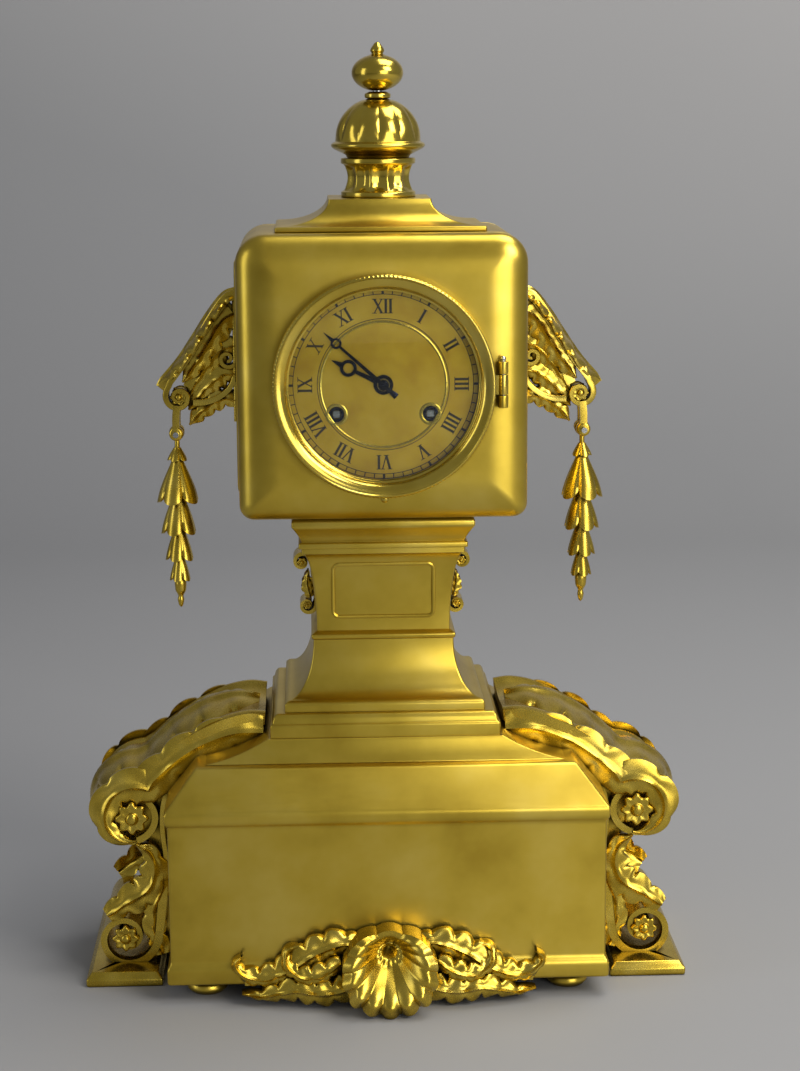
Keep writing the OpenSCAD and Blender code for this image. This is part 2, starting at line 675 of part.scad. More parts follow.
// Toothed outline: n teeth of module m, one of them at angle a, each narrowing to its tip
function teeth(n, m, a, rise, sink, wide, thin) = [for (i = [0:n - 1],
    k = [[-wide, -sink], [-thin, rise], [thin, rise], [wide, -sink]])
    polar(n * m / 2 + k[1] * m, a + (i + k[0]) * 360 / n)];
module wheel_flat(n, m, a) polygon(teeth(n, m, a, 0.9, 1.3, 0.29, 0.1));
module pinion_flat(n, m, a) polygon(teeth(n, m, a, 0.55, 1.5, 0.2, 0.12));
// Wheel crossed out so that spokes of width 2 * half join its rim to its hub
module crossed(n, m, a, hub, spokes = 5, half = 0.9) difference() {
    wheel_flat(n, m, a);
    rim = n * m / 2 - 1.3 * m - 1.2;
    turn = 180 / spokes;
    for (i = [0:spokes - 1]) rotate(2 * turn * i) intersection() {
        difference() {
            circle(rim);
            circle(hub);
        }
        polygon([for (p = [[0, 0], [2 * rim, -tan(turn) * 2 * rim], [2 * rim, tan(turn) * 2 * rim]])
            p + [half / sin(turn), 0]]);
    }
}
// Arbor between the plates, with a pivot in each
pivot_r = 0.5;
module arbor(at, r) {
    rod_y(at, pivot_r, y_p1 + 0.1, y_p2b - 0.1);
    rod_y(at, r, y_p1b + 0.4, y_p2 - 0.4);
}
module on(at, a0) translate(at) rotate(a0) children();

// Plates, pillars and what stands on them
bush_points = [at_inter, at_third, at_escape, at_second, at_pin, at_fly];
back_arbor_r = 1.5;
front_arbor_r = 2;
anchor_hole_r = 2.4;
hammer_r = 1.2;
center_r = 1.3;
module plate_holes(y0) {
    for (at = bush_points) rod_y(at, pivot_r + run, y0 - 1, y0 + plate_t + 1);
    for (a = pillar_angles) rod_y(polar(pillar_at, a), pillar_end_r + run, y0 - 1, y0 + plate_t + 1);
}
module front_plate() color("goldenrod") up_to_dial() difference() {
    plate_y(y_p1, y_p1b) circle(plate_r);
    plate_holes(y_p1);
    rod_y(at_center, center_r + run, y_p1 - 1, y_p1b + 1);
    for (at = [at_anchor, at_hammer]) rod_y(at, pivot_r + run, y_p1 - 1, y_p1b + 1);
    for (at = [at_going, at_strike]) rod_y(at, front_arbor_r + run, y_p1 - 1, y_p1b + 1);
    for (a = post_angles) rod_y(polar(post_at, a), post_shank_r + run, y_p1 - 1, y_p1b + 1);
    rod_y(at_minute, stud_pin_r + run, y_p1 - 1, y_p1b + 1);
    for (s = [-1, 1]) rod_y(click_at(s), click_pin_r + run, y_p1 - 1, y_p1b + 1);
}
module back_plate() color("goldenrod") up_to_dial() difference() {
    plate_y(y_p2, y_p2b) circle(plate_r);
    plate_holes(y_p2);
    rod_y(at_center, pivot_r + run, y_p2 - 1, y_p2b + 1);
    rod_y(at_anchor, anchor_hole_r, y_p2 - 1, y_p2b + 1);
    rod_y(at_hammer, hammer_r + run, y_p2 - 1, y_p2b + 1);
    for (at = [at_going, at_strike]) rod_y(at, back_arbor_r + run, y_p2 - 1, y_p2b + 1);
    for (at = concat(cock_feet, [stand_at])) rod_y(at, foot_pin_r + run, y_p2 - 1, y_p2b + 1);
}
module pillars() color("silver") up_to_dial() for (a = pillar_angles) {
    rod_y(polar(pillar_at, a), pillar_r, y_p1b + seat, y_p2 - seat);
    rod_y(polar(pillar_at, a), pillar_end_r, y_p1, y_p2b + 0.5);
    rod_y(polar(pillar_at, a), pillar_r, y_p2b + seat, y_p2b + 2);
}
// Cock behind the back plate: it bears the anchor's rear pivot and the stud that hangs the pendulum
foot_pin_r = 1.2;
cock_feet = [[-9, 36], [9, 36]];
cock_r = 2.4;
y_cock = y_p2b + 8;
cock_t = 2;
hang_r = 1.2;
y_rod = y_cock + cock_t + 1;
rod_t = 2.4;
module suspension_cock() color("goldenrod") up_to_dial() {
    for (at = cock_feet) {
        rod_y(at, cock_r, y_p2b + seat, y_cock + 0.5);
        rod_y(at, foot_pin_r, y_p2, y_cock);
    }
    difference() {
        plate_y(y_cock, y_cock + cock_t) {
            for (at = cock_feet) translate(at) circle(cock_r + 0.6);
            translate([0, 36.5]) square([18, 6], center = true);
        }
        rod_y(at_anchor, pivot_r + run, y_cock - 1, y_cock + 1.2);
    }
    rod_y(at_anchor, hang_r, y_cock + 1.2, y_rod + rod_t + 0.3);
    rod_y(at_anchor, 2.4, y_rod + rod_t + 0.3, y_rod + rod_t + 1.3);
}
// Bell, mouth to the front, on a stand that passes behind it
y_bell = y_rod + 6;
bell_deep = 15;
bell_t = 1.5;
bell_hole_r = 2;
bell_steps = 10;
// Radius of the bell's outside at part t of its depth from the mouth
function bell_curve(t) = bell_r * (1 - 0.04 * t - 0.5 * t * t * t);
module bell() color("gold") up_to_dial() translate([at_bell[0], 0, at_bell[1]]) turned_y(y_bell)
    polygon(concat([for (i = [0:bell_steps])
            [bell_curve(i / bell_steps) - bell_t, (bell_deep - bell_t) * i / bell_steps]],
        [[bell_hole_r + run, bell_deep - bell_t], [bell_hole_r + run, bell_deep]],
        [for (i = [bell_steps:-1:0]) [bell_curve(i / bell_steps), bell_deep * i / bell_steps]]));
stand_at = [-20, -31];
stand_r = 2.5;
y_stand = y_bell + bell_deep + seat;
stand_t = 2.4;
module bell_stand() color("silver") up_to_dial() {
    rod_y(stand_at, foot_pin_r, y_p2, y_p2b + 2);
    rod_y(stand_at, stand_r, y_p2b + seat, y_stand + stand_t);
    plate_y(y_stand, y_stand + stand_t) translate(stand_at) rotate(towards(stand_at, at_bell))
        translate([0, -stand_r]) square([norm(at_bell - stand_at) + 3, 2 * stand_r]);
    rod_y(at_bell, bell_hole_r, y_stand - bell_t - 1, y_stand + 1);
    rod_y(at_bell, 2 * bell_hole_r, y_stand - bell_t - 2.6, y_stand - bell_t - 2 * seat);
}
// Spring clicks that hold the ratchets
click_pin_r = 0.8;
click_turn = 30;
function click_at(s) = [s * at_going[0], at_going[1]]
    + polar(ratchet_r + 5, s > 0 ? click_turn : 180 - click_turn);
module clicks() color("silver") up_to_dial() for (s = [-1, 1]) {
    rod_y(click_at(s), 2, y_ratchet, y_p1 - seat);
    rod_y(click_at(s), click_pin_r, y_p1 - 1, y_p1b - 0.5);
    plate_y(y_ratchet, y_ratchet + wheel_t) polygon([for (p = [[-1.6, 0], [1.6, 0], [0.6, ratchet_r],
        [-0.2, ratchet_r + 1]]) click_at(s) + turned([s * p[0], -p[1]], s * 20)]);
}

// Spring barrel: a drum on its great wheel, with the mainspring coiled inside
core_r = 3.4;
drum_wall = 1;
spring_t = 0.35;
spring_turns = 8;
module barrel(at, pinion_at, deep) up_to_dial() difference() {
    union() {
        rod_y(at, barrel_r, y_drum, y_drum + deep + 0.01);
        plate_y(y_drum + deep, y_drum + deep + 1.5) on(at, 0)
            wheel_flat(great_n, great_m, towards(at, pinion_at));
    }
    rod_y(at, barrel_r - drum_wall, y_drum + drum_wall, y_drum + deep - drum_wall);
    rod_y(at, winding_r + run, y_drum - 1, y_drum + deep + 3);
}
winding_r = 2.4;
// Spiral of the mainspring from r0 to r1, drawn out and then back along its other face
function spiral(r0, r1, turns, shift) = [for (i = [0:24 * turns])
    polar(r0 + (r1 - r0) * i / (24 * turns) + shift, 15 * i)];
module mainspring(at, deep) up_to_dial() plate_y(y_drum + drum_wall + free, y_drum + deep - drum_wall - free)
    on(at, 0) polygon(concat(spiral(core_r + free, barrel_r - drum_wall - free - spring_t, spring_turns, 0),
        [for (p = [len(spiral(0, 1, spring_turns, 0)) - 1:-1:0])
            spiral(core_r + free, barrel_r - drum_wall - free - spring_t, spring_turns, spring_t)[p]]));
// Winding arbor: square to the front, ratchet before the front plate, core inside the barrel
square_w = 2.6;
module winding_arbor(at, deep) up_to_dial() {
    plate_y(y_dial + 0.4, y_ratchet) on(at, 0) square(square_w, center = true);
    plate_y(y_ratchet, y_ratchet + wheel_t) on(at, 0)
        polygon([for (i = [0:ratchet_n - 1], k = [[0, 0], [0.92, -0.9]])
            polar(ratchet_r + k[1], (i + k[0]) * 360 / ratchet_n)]);
    rod_y(at, front_arbor_r, y_ratchet, y_p1b + 0.4);
    rod_y(at, winding_r, y_p1b + 0.2, y_p2 - 0.4);
    rod_y(at, core_r, y_drum + drum_wall + free, y_drum + deep - drum_wall - free);
    rod_y(at, back_arbor_r, y_p2 - 1, y_p2b - 0.1);
}
module going_barrel() color("goldenrod") barrel(at_going, at_inter, drum_h);
module strike_barrel() color("goldenrod") barrel(at_strike, at_second, drum_h + strike_extra);
module going_mainspring() color("steelblue") mainspring(at_going, drum_h);
module strike_mainspring() color("steelblue") mainspring(at_strike, drum_h + strike_extra);
module going_winding_arbor() color("silver") winding_arbor(at_going, drum_h);
module strike_winding_arbor() color("silver") winding_arbor(at_strike, drum_h + strike_extra);

// Going train
module intermediate_wheel() color("goldenrod") up_to_dial() {
    arbor(at_inter, 1);
    plate_y(y_great - 0.5, y_great + 2) on(at_inter, 0)
        pinion_flat(great_pin_n, great_m, towards(at_inter, at_going) + 180 / great_pin_n);
    plate_y(y_inter, y_inter + wheel_t) on(at_inter, 0)
        crossed(inter_n, inter_m, towards(at_inter, at_center), 3.5);
}
module center_wheel() color("goldenrod") up_to_dial() {
    rod_y(at_center, cannon_bore_r, y_minute_hand, y_p1b + 2);
    rod_y(at_center, center_r, y_p1 - 0.4, y_p2 - 0.4);
    rod_y(at_center, pivot_r, y_p2 - 1, y_p2b - 0.1);
    plate_y(y_inter - 1.1, y_inter + 2.2) on(at_center, 0)
        pinion_flat(center_pin_n, inter_m, towards(at_center, at_inter) + 180 / center_pin_n);
    plate_y(y_center, y_center + wheel_t) on(at_center, 0)
        crossed(center_n, center_m, towards(at_center, at_third), 3.5);
}
module third_wheel() color("goldenrod") up_to_dial() {
    arbor(at_third, 0.8);
    plate_y(y_center - 1, y_center + 2) on(at_third, 0)
        pinion_flat(third_pin_n, center_m, towards(at_third, at_center) + 180 / third_pin_n);
    plate_y(y_third, y_third + 0.9) on(at_third, 0)
        crossed(third_n, third_m, towards(at_third, at_escape), 3);
}
module escape_wheel() color("goldenrod") up_to_dial() {
    arbor(at_escape, 0.7);
    plate_y(y_third - 0.8, y_third + 1.7) on(at_escape, 0)
        pinion_flat(escape_pin_n, third_m, towards(at_escape, at_third) + 180 / escape_pin_n);
    plate_y(y_escape, y_escape + 0.8) on(at_escape, 0) difference() {
        polygon([for (i = [0:escape_n - 1], k = [[0, 0], [0.45, -1], [0.9, -1]])
            polar(escape_r + k[1], (i + k[0]) * 360 / escape_n)]);
        for (i = [0:3]) rotate(90 * i) translate([4, 0]) circle(1.7);
    }
}
// Anchor: pallets over the escape wheel, and a crutch behind the back plate that pushes the rod
pallet_turn = 38;
pallet_gap = 1;
pallet_w = 1.6;
crutch_drop = 20;
y_crutch = y_p2b + 2.5;
pallet_at = at_escape + polar(escape_r + pallet_gap + pallet_w / 2, 90 - pallet_turn);
anchor_arm = pallet_at - at_anchor;
module anchor() color("silver") up_to_dial() {
    rod_y(at_anchor, pivot_r, y_p1 + 0.1, y_p1b + 1);
    rod_y(at_anchor, 0.9, y_p1b + 0.4, y_cock - 0.3);
    rod_y(at_anchor, pivot_r, y_cock - 1, y_cock + 1);
    plate_y(y_escape - 0.6, y_escape + 1.4) on(at_anchor, 0) {
        circle(1.8);
        for (s = [-1, 1]) {
            translate([s * anchor_arm[0], anchor_arm[1]]) circle(pallet_w / 2);
            polygon([[0, 1.6], [s * (anchor_arm[0] + 0.8), anchor_arm[1]],
                [s * (anchor_arm[0] - 0.8), anchor_arm[1]], [0, -1.2]]);
        }
    }
    plate_y(y_crutch, y_crutch + 1) {
        translate(at_anchor) circle(1.8);
        translate(at_anchor + [-0.8, -crutch_drop]) square([1.6, crutch_drop]);
    }
    rod_y(at_anchor - [0, crutch_drop], 0.6, y_crutch, y_rod + rod_t + 0.8);
}
module pendulum_rod() color("silver") up_to_dial() difference() {
    plate_y(y_rod, y_rod + rod_t) {
        translate(at_anchor) circle(2.6);
        translate(at_anchor + [-0.8, -pendulum_len]) square([1.6, pendulum_len]);
        translate(at_anchor - [0, crutch_drop]) circle(2);
    }
    rod_y(at_anchor, hang_r + run, y_rod - 1, y_rod + rod_t + 1);
    plate_y(y_rod - 1, y_rod + rod_t + 1) translate(at_anchor - [0, crutch_drop])
        square([1.4, 2.4], center = true);
}
bob_t = 7;
module pendulum_bob() color("gold") up_to_dial() translate([0, 0, at_anchor[1] - pendulum_len]) difference() {
    turned_y(y_rod + rod_t / 2) polygon([[0, -bob_t / 2], [bob_r / 2, -bob_t / 2 + 0.6], [bob_r, -0.8],
        [bob_r, 0.8], [bob_r / 2, bob_t / 2 - 0.6], [0, bob_t / 2]]);
    translate([-0.8 - seat, y_rod - seat, -seat]) cube([1.6 + 2 * seat, rod_t + 2 * seat, bob_r + 1]);
}

// Motion work and hands
cannon_bore_r = 1;
cannon_pipe_r = 1.6;
hour_pipe_r = 2.5;
stud_pin_r = 0.9;
y_cannon = y_p1 - 3.5;
y_hour_wheel = y_p1 - 5.8;
module cannon_pinion() color("silver") up_to_dial() difference() {
    union() {
        rod_y(at_center, cannon_pipe_r, y_minute_hand + hand_t + seat, y_p1 - 0.6);
        plate_y(y_cannon, y_p1 - 0.6) on(at_center, 0)
            pinion_flat(cannon_n, cannon_m, towards(at_center, at_minute) + 180 / cannon_n);
    }
    rod_y(at_center, cannon_bore_r + run, y_minute_hand - 1, y_p1);
}
module minute_wheel() color("goldenrod") up_to_dial() {
    plate_y(y_p1 - 2.5, y_p1 - 2.5 + wheel_t) on(at_minute, 0)
        crossed(minute_n, cannon_m, towards(at_minute, at_center), 3.2, 4);
    plate_y(y_hour_wheel - 0.8, y_p1 - 2.4) on(at_minute, 0)
        pinion_flat(minute_pin_n, hour_m, towards(at_minute, at_center) + 180 / minute_pin_n);
    rod_y(at_minute, 1.8, y_p1 - 2.5, y_p1 - 0.3);
    rod_y(at_minute, stud_pin_r, y_p1 - 1, y_p1b);
}
module hour_wheel() color("goldenrod") up_to_dial() difference() {
    union() {
        plate_y(y_hour_wheel, y_hour_wheel + wheel_t) on(at_center, 0)
            crossed(hour_n, hour_m, towards(at_center, at_minute), 3.6, 4);
        rod_y(at_center, hour_pipe_r, y_hour_hand - 0.3, y_hour_wheel + wheel_t);
    }
    rod_y(at_center, cannon_pipe_r + run, y_hour_hand - 2, y_p1);
}
hour_turn = 90 - 30 * hour_shown - minute_shown / 2;
hub_rise = 0.1;
module hour_hand() color("dimgray") up_to_dial() difference() {
    union() {
        rod_y(at_center, hour_pipe_r + 1.5, y_hour_hand - hub_rise, y_hour_hand + hand_t);
        plate_y(y_hour_hand, y_hour_hand + hand_t) rotate(hour_turn)
            polygon([[0, -0.9], [hour_len - 11, -0.9], [hour_len - 8.5, -3], [hour_len - 5, -1.4],
                [hour_len, 0], [hour_len - 5, 1.4], [hour_len - 8.5, 3], [hour_len - 11, 0.9], [0, 0.9]]);
    }
    rod_y(at_center, hour_pipe_r + run, y_hour_hand - 2, y_hour_hand + 2);
}
module minute_hand() color("dimgray") up_to_dial() difference() {
    union() {
        rod_y(at_center, 2.2, y_minute_hand - hub_rise, y_minute_hand + hand_t);
        plate_y(y_minute_hand, y_minute_hand + hand_t) rotate(-6 * minute_shown)
            polygon([[-0.9, -7], [-0.7, minute_len - 9], [-1.6, minute_len - 6.5], [0, minute_len],
                [1.6, minute_len - 6.5], [0.7, minute_len - 9], [0.9, -7]]);
    }
    rod_y(at_center, cannon_bore_r + run, y_minute_hand - 1, y_dial);
}

// Striking train
module strike_second_wheel() color("goldenrod") up_to_dial() {
    arbor(at_second, 1);
    plate_y(y_great + strike_extra - 0.5, y_great + strike_extra + 2) on(at_second, 0)
        pinion_flat(great_pin_n, great_m, towards(at_second, at_strike) + 180 / great_pin_n);
    plate_y(y_inter, y_inter + wheel_t) on(at_second, 0)
        crossed(second_n, second_m, towards(at_second, at_pin), 3.2);
}
lift_pins = 8;
lift_at = 6;
module pin_wheel() color("goldenrod") up_to_dial() {
    arbor(at_pin, 0.8);
    plate_y(y_inter - 1, y_inter + 2.2) on(at_pin, 0)
        pinion_flat(pin_pin_n, second_m, towards(at_pin, at_second) + 180 / pin_pin_n);
    plate_y(y_pin, y_pin + wheel_t) on(at_pin, 0) wheel_flat(pin_n, pin_m, towards(at_pin, at_fly));
    for (i = [0:lift_pins - 1]) rod_y(at_pin + polar(lift_at, 360 / lift_pins * i), 0.5, y_pin + 0.5,
        y_pin + wheel_t + 2.4);
}
module fly() color("silver") up_to_dial() {
    arbor(at_fly, 0.58);
    plate_y(y_pin - 0.8, y_pin + 2) on(at_fly, 0)
        pinion_flat(fly_pin_n, pin_m, towards(at_fly, at_pin) + 180 / fly_pin_n);
    plate_y(y_p1b + 1.5, y_pin - 1.2) on(at_fly, 0) square([9, 0.8], center = true);
    rod_y(at_fly, 1.1, y_p1b + 1.2, y_pin - 1);
}
// Hammer: a tail beside the lifting pins, and a head that rests just off the bell's rim
head_r = 3.5;
hammer_long = 24;
head_at = meet(at_hammer, hammer_long, at_bell, bell_r + head_r + 0.6, 1);
y_arm = y_bell - 2.5;
tail_long = norm(at_pin - at_hammer) - lift_at - 0.5 - free;
module hammer() color("silver") up_to_dial() {
    rod_y(at_hammer, pivot_r, y_p1 + 0.1, y_p1b + 1);
    rod_y(at_hammer, 0.9, y_p1b + 0.4, y_p2);
    rod_y(at_hammer, hammer_r, y_p2 - 0.5, y_arm + 1.5);
    plate_y(y_pin + wheel_t + 0.6, y_pin + wheel_t + 1.8) on(at_hammer, towards(at_hammer, at_pin)) {
        circle(1.8);
        translate([0, -0.6]) square([tail_long, 1.2]);
    }
    plate_y(y_arm, y_arm + 1.5) on(at_hammer, towards(at_hammer, head_at)) {
        circle(2);
        translate([0, -0.8]) square([hammer_long, 1.6]);
    }
    rod_y(head_at, head_r, y_arm, y_bell + 4);
}

base_block();
base_plate();
feet();
apron_mount();
side_scroll_left();
side_scroll_right();
plinth();
pedestal();
pedestal_brackets();
collar();
case_wrap();
case_front();
case_back();
roof();
finial_stem();
finial_urn();
finial_ball();
handle_left();
handle_right();
tie_rods();
screws();
hinge_pins();
dial();
dial_ring();
movement_posts();
front_plate();
back_plate();
pillars();
suspension_cock();
clicks();
bell();
bell_stand();
bezel();
front_glass();
back_door();
back_glass();
drop_left();
drop_right();
going_barrel();
going_mainspring();
going_winding_arbor();
intermediate_wheel();
center_wheel();
cannon_pinion();
minute_hand();
third_wheel();
escape_wheel();
anchor();
pendulum_rod();
pendulum_bob();
minute_wheel();
hour_wheel();
hour_hand();
strike_barrel();
strike_mainspring();
strike_winding_arbor();
strike_second_wheel();
pin_wheel();
fly();
hammer();
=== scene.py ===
import json
import math

import bmesh
import bpy
import mathutils
import numpy as np
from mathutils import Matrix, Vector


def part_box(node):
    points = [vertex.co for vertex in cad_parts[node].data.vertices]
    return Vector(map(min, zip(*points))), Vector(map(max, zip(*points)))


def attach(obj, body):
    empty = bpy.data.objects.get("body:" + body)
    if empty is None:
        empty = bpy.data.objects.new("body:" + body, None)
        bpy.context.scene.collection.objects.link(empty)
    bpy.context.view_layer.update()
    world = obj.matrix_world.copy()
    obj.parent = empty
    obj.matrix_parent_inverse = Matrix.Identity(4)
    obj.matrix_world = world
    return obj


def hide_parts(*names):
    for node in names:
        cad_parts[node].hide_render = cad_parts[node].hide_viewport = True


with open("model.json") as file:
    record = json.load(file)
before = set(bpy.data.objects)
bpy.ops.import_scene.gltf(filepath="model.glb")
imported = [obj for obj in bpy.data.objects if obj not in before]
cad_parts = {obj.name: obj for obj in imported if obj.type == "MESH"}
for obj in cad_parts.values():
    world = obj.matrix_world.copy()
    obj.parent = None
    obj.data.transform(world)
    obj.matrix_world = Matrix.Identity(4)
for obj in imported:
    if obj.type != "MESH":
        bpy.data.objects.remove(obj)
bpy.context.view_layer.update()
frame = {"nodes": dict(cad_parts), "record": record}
mm = 0.001
nodes = frame["nodes"]
pi = math.pi


# Lowest and highest corner of a CAD node in millimetres
def boxOf(node):
    low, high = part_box(node)
    return np.array(low) / mm, np.array(high) / mm


# Linear colour of an sRGB hex value: the sRGB curve undone on each channel
def linear(hexText, alpha=1.0):
    channels = [int(hexText[i:i + 2], 16) / 255 for i in (1, 3, 5)]
    return tuple(c / 12.92 if c <= 0.04045 else ((c + 0.055) / 1.055) ** 2.4 for c in channels) + (alpha,)


# Adds one node with its settings; i0, i1 name an input by its number, and a value that is an output is linked
def addNode(tree, kind, settings=None, **inputs):
    node = tree.nodes.new(kind)
    for key, value in (settings or {}).items():
        setattr(node, key, value)
    for key, value in inputs.items():
        numbered = key[0] == "i" and key[1:].isdigit()
        socket = node.inputs[int(key[1:]) if numbered else key.replace("_", " ")]
        if isinstance(value, bpy.types.NodeSocket):
            tree.links.new(value, socket)
        else:
            socket.default_value = value
    return node


# Colour ramp between stops given as (place, hex colour)
def addRamp(tree, factor, stops):
    ramp = addNode(tree, "ShaderNodeValToRGB", i0=factor)
    elements = ramp.color_ramp.elements
    while len(elements) < len(stops):
        elements.new(0.5)
    for element, (place, colour) in zip(elements, stops):
        element.position, element.color = place, linear(colour)
    return ramp.outputs["Color"]


# Empty material with a principled shader on its output
def newMaterial(name):
    material = bpy.data.materials.new(name)
    material.use_nodes = True
    tree = material.node_tree
    tree.nodes.clear()
    shader = addNode(tree, "ShaderNodeBsdfPrincipled")
    output = addNode(tree, "ShaderNodeOutputMaterial")
    tree.links.new(shader.outputs[0], output.inputs["Surface"])
    return material, tree, shader


# Gilt or bare brass. Noise about patch millimetres wide shifts colour and roughness, finer noise about
# grain millimetres wide roughens it, hollows found by ambient occlusion are darkened, partly as patina and
# partly as painted shade, and raised edges are rubbed bright.
def brassMaterial(name, look):
    material, tree, shader = newMaterial(name)
    place = addNode(tree, "ShaderNodeTexCoord").outputs["Object"]
    cloud = addNode(tree, "ShaderNodeTexNoise", Vector=place, Scale=1 / (look["patch"] * mm), Detail=4.0,
                    Roughness=0.55)
    stretch = addNode(tree, "ShaderNodeMapping", Vector=place, Scale=look["stretch"])
    grain = addNode(tree, "ShaderNodeTexNoise", Vector=stretch.outputs[0], Scale=1 / (look["grain"] * mm),
                    Detail=3.0, Roughness=0.6)
    tone = addRamp(tree, cloud.outputs["Fac"],
                   ((0.32, look["shade"]), (0.52, look["base"]), (0.72, look["light"])))
    # Ambient occlusion finds the hollows; there the colour goes towards a dark tone, partly patina and partly
    # painted shade
    hollow = addNode(tree, "ShaderNodeAmbientOcclusion", {"samples": 12, "only_local": False},
                     Distance=look["reach"] * mm)
    depth = addNode(tree, "ShaderNodeMapRange", Value=hollow.outputs["AO"], From_Min=0.2, From_Max=0.74,
                    To_Min=look["hollowPatinaShadeAmount"], To_Max=0.0)
    hollowPatinaShadeMix = addNode(tree, "ShaderNodeMix", {"data_type": "RGBA"}, i0=depth.outputs[0], i6=tone,
                   i7=linear(look["hollowPatinaShade"]))
    tree.links.new(hollowPatinaShadeMix.outputs[2], shader.inputs["Base Color"])
    shader.inputs["Metallic"].default_value = 1.0
    rough = addNode(tree, "ShaderNodeMapRange", Value=grain.outputs["Fac"], From_Min=0.3, From_Max=0.7,
                    To_Min=look["rough"] - 0.015, To_Max=look["rough"] + 0.025)
    dull = addNode(tree, "ShaderNodeMath", {"operation": "MULTIPLY_ADD"}, i0=depth.outputs[0], i1=0.25,
                   i2=rough.outputs[0])
    tree.links.new(dull.outputs[0], shader.inputs["Roughness"])
    bump = addNode(tree, "ShaderNodeBump", Height=grain.outputs["Fac"], Strength=look["bump"],
                   Distance=0.05 * mm)
    swell = addNode(tree, "ShaderNodeBump", Height=cloud.outputs["Fac"], Strength=look["swell"],
                    Distance=0.6 * mm, Normal=bump.outputs[0])
    tree.links.new(swell.outputs[0], shader.inputs["Normal"])
    return material


# The dark tone in hollows and its strength stand for patina and for painted shade together
brass = dict(shade="#B89C36", base="#CDB144", light="#D9BF58", hollowPatinaShade="#3E2E06", hollowPatinaShadeAmount=0.75, reach=5.0,
             rough=0.30, patch=38.0, grain=0.9, stretch=(1.0, 1.0, 1.0), bump=0.03, swell=0.02)
materials = {
    # Fire-gilt brass, burnished by hand: satin, with slow waves from the burnisher, and darker in the corners
    # with patina and painted shade
    "giltBrass": brassMaterial("giltBrassBurnished", brass),
    # The block's sheets were drawn under a fine emery cloth: faint lengthways brushing
    "brushedGilt": brassMaterial("giltBrassBrushed", dict(brass, stretch=(0.06, 1.0, 1.0), grain=0.7,
        rough=0.33, bump=0.06)),
    # Cast and chased gilt bronze: bright on the rubbed leaf edges, darker between the leaves with patina and
    # painted shade
    "giltOrnament": brassMaterial("giltBronzeChased", dict(brass, base="#CBAF44", hollowPatinaShade="#2E2204",
        hollowPatinaShadeAmount=0.9, reach=3.5, rough=0.27, patch=14.0, grain=0.6, bump=0.12)),
    # Polished and lacquered brass of the bezels and finial
    "polishedBrass": brassMaterial("brassPolishedLacquered", dict(brass, base="#CFB54C",
        light="#DBC461", rough=0.18, hollowPatinaShadeAmount=0.6, reach=3.0, bump=0.05)),
    # Matted gilt dial: frosted by fine punch marks
    "giltDial": brassMaterial("giltDialMatted", dict(brass, base="#D9B43A", shade="#C9A232",
        light="#E2C04A", rough=0.44, patch=16.0, grain=0.45, bump=0.35, hollowPatinaShadeAmount=0.5, reach=2.0)),
    # Cast brass plates and wheels, grained and lacquered
    "movementBrass": brassMaterial("brassGrained", dict(brass, base="#CDB35C", light="#D9C270",
        rough=0.24, grain=0.5, stretch=(1.0, 1.0, 0.08), bump=0.12, reach=2.0, hollowPatinaShadeAmount=0.5)),
    # Bell metal turned on a lathe: pale, high-tin bronze
    "bellMetal": brassMaterial("bronzeTurned", dict(brass, base="#C9B274", light="#D8C48B",
        shade="#AF9858", rough=0.2, stretch=(1.0, 0.05, 1.0), grain=0.5, bump=0.1)),
}


# Hardened steel and other plain metals: fine polishing lines along X and a light mottling
def steelMaterial(name, look):
    material, tree, shader = newMaterial(name)
    place = addNode(tree, "ShaderNodeTexCoord").outputs["Object"]
    lines = addNode(tree, "ShaderNodeMapping", Vector=place, Scale=look["stretch"])
    grain = addNode(tree, "ShaderNodeTexNoise", Vector=lines.outputs[0], Scale=1 / (look["grain"] * mm),
                    Detail=3.0)
    tone = addRamp(tree, grain.outputs["Fac"], ((0.3, look["shade"]), (0.7, look["light"])))
    tree.links.new(tone, shader.inputs["Base Color"])
    shader.inputs["Metallic"].default_value = look["metallic"]
    rough = addNode(tree, "ShaderNodeMapRange", Value=grain.outputs["Fac"], To_Min=look["rough"] - 0.05,
                    To_Max=look["rough"] + 0.1)
    tree.links.new(rough.outputs[0], shader.inputs["Roughness"])
    bump = addNode(tree, "ShaderNodeBump", Height=grain.outputs["Fac"], Strength=look["bump"],
                   Distance=0.03 * mm)
    tree.links.new(bump.outputs[0], shader.inputs["Normal"])
    return material


steel = dict(shade="#A9ABA9", light="#C9CBC9", metallic=1.0, rough=0.2, grain=0.4, bump=0.1,
             stretch=(0.1, 1.0, 1.0))
materials.update({
    # Polished tool steel: arbors, pinions, screws and posts
    "steel": steelMaterial("steelPolished", steel),
    # Steel blued by heat: nearly black indigo with a soft shine
    "bluedSteel": steelMaterial("steelBlued", dict(steel, shade="#14161F", light="#232838", rough=0.24)),
    # Spring steel, blue-grey from tempering
    "springSteel": steelMaterial("steelTempered", dict(steel, shade="#3B4358", light="#56607A", rough=0.3)),
    # Black wax filled into the engraved numerals and minute track
    "blackWax": steelMaterial("waxBlack", dict(steel, shade="#2A2010", light="#3E3018", metallic=0.0,
                                               rough=0.45)),
})


# Flat clear window glass with a faint green cast
def glassMaterial(name):
    material, tree, shader = newMaterial(name)
    place = addNode(tree, "ShaderNodeTexCoord").outputs["Object"]
    # 22 mm waves of drawn sheet
    wave = addNode(tree, "ShaderNodeTexNoise", Vector=place, Scale=1 / (22 * mm), Detail=1.0)
    bump = addNode(tree, "ShaderNodeBump", Height=wave.outputs["Fac"], Strength=0.04, Distance=0.1 * mm)
    tree.links.new(bump.outputs[0], shader.inputs["Normal"])
    shader.inputs["Base Color"].default_value = linear("#F6FAF7")
    shader.inputs["Roughness"].default_value = 0.02
    shader.inputs["IOR"].default_value = 1.5
    shader.inputs["Transmission Weight"].default_value = 1.0
    return material


materials["glass"] = glassMaterial("glassClear")

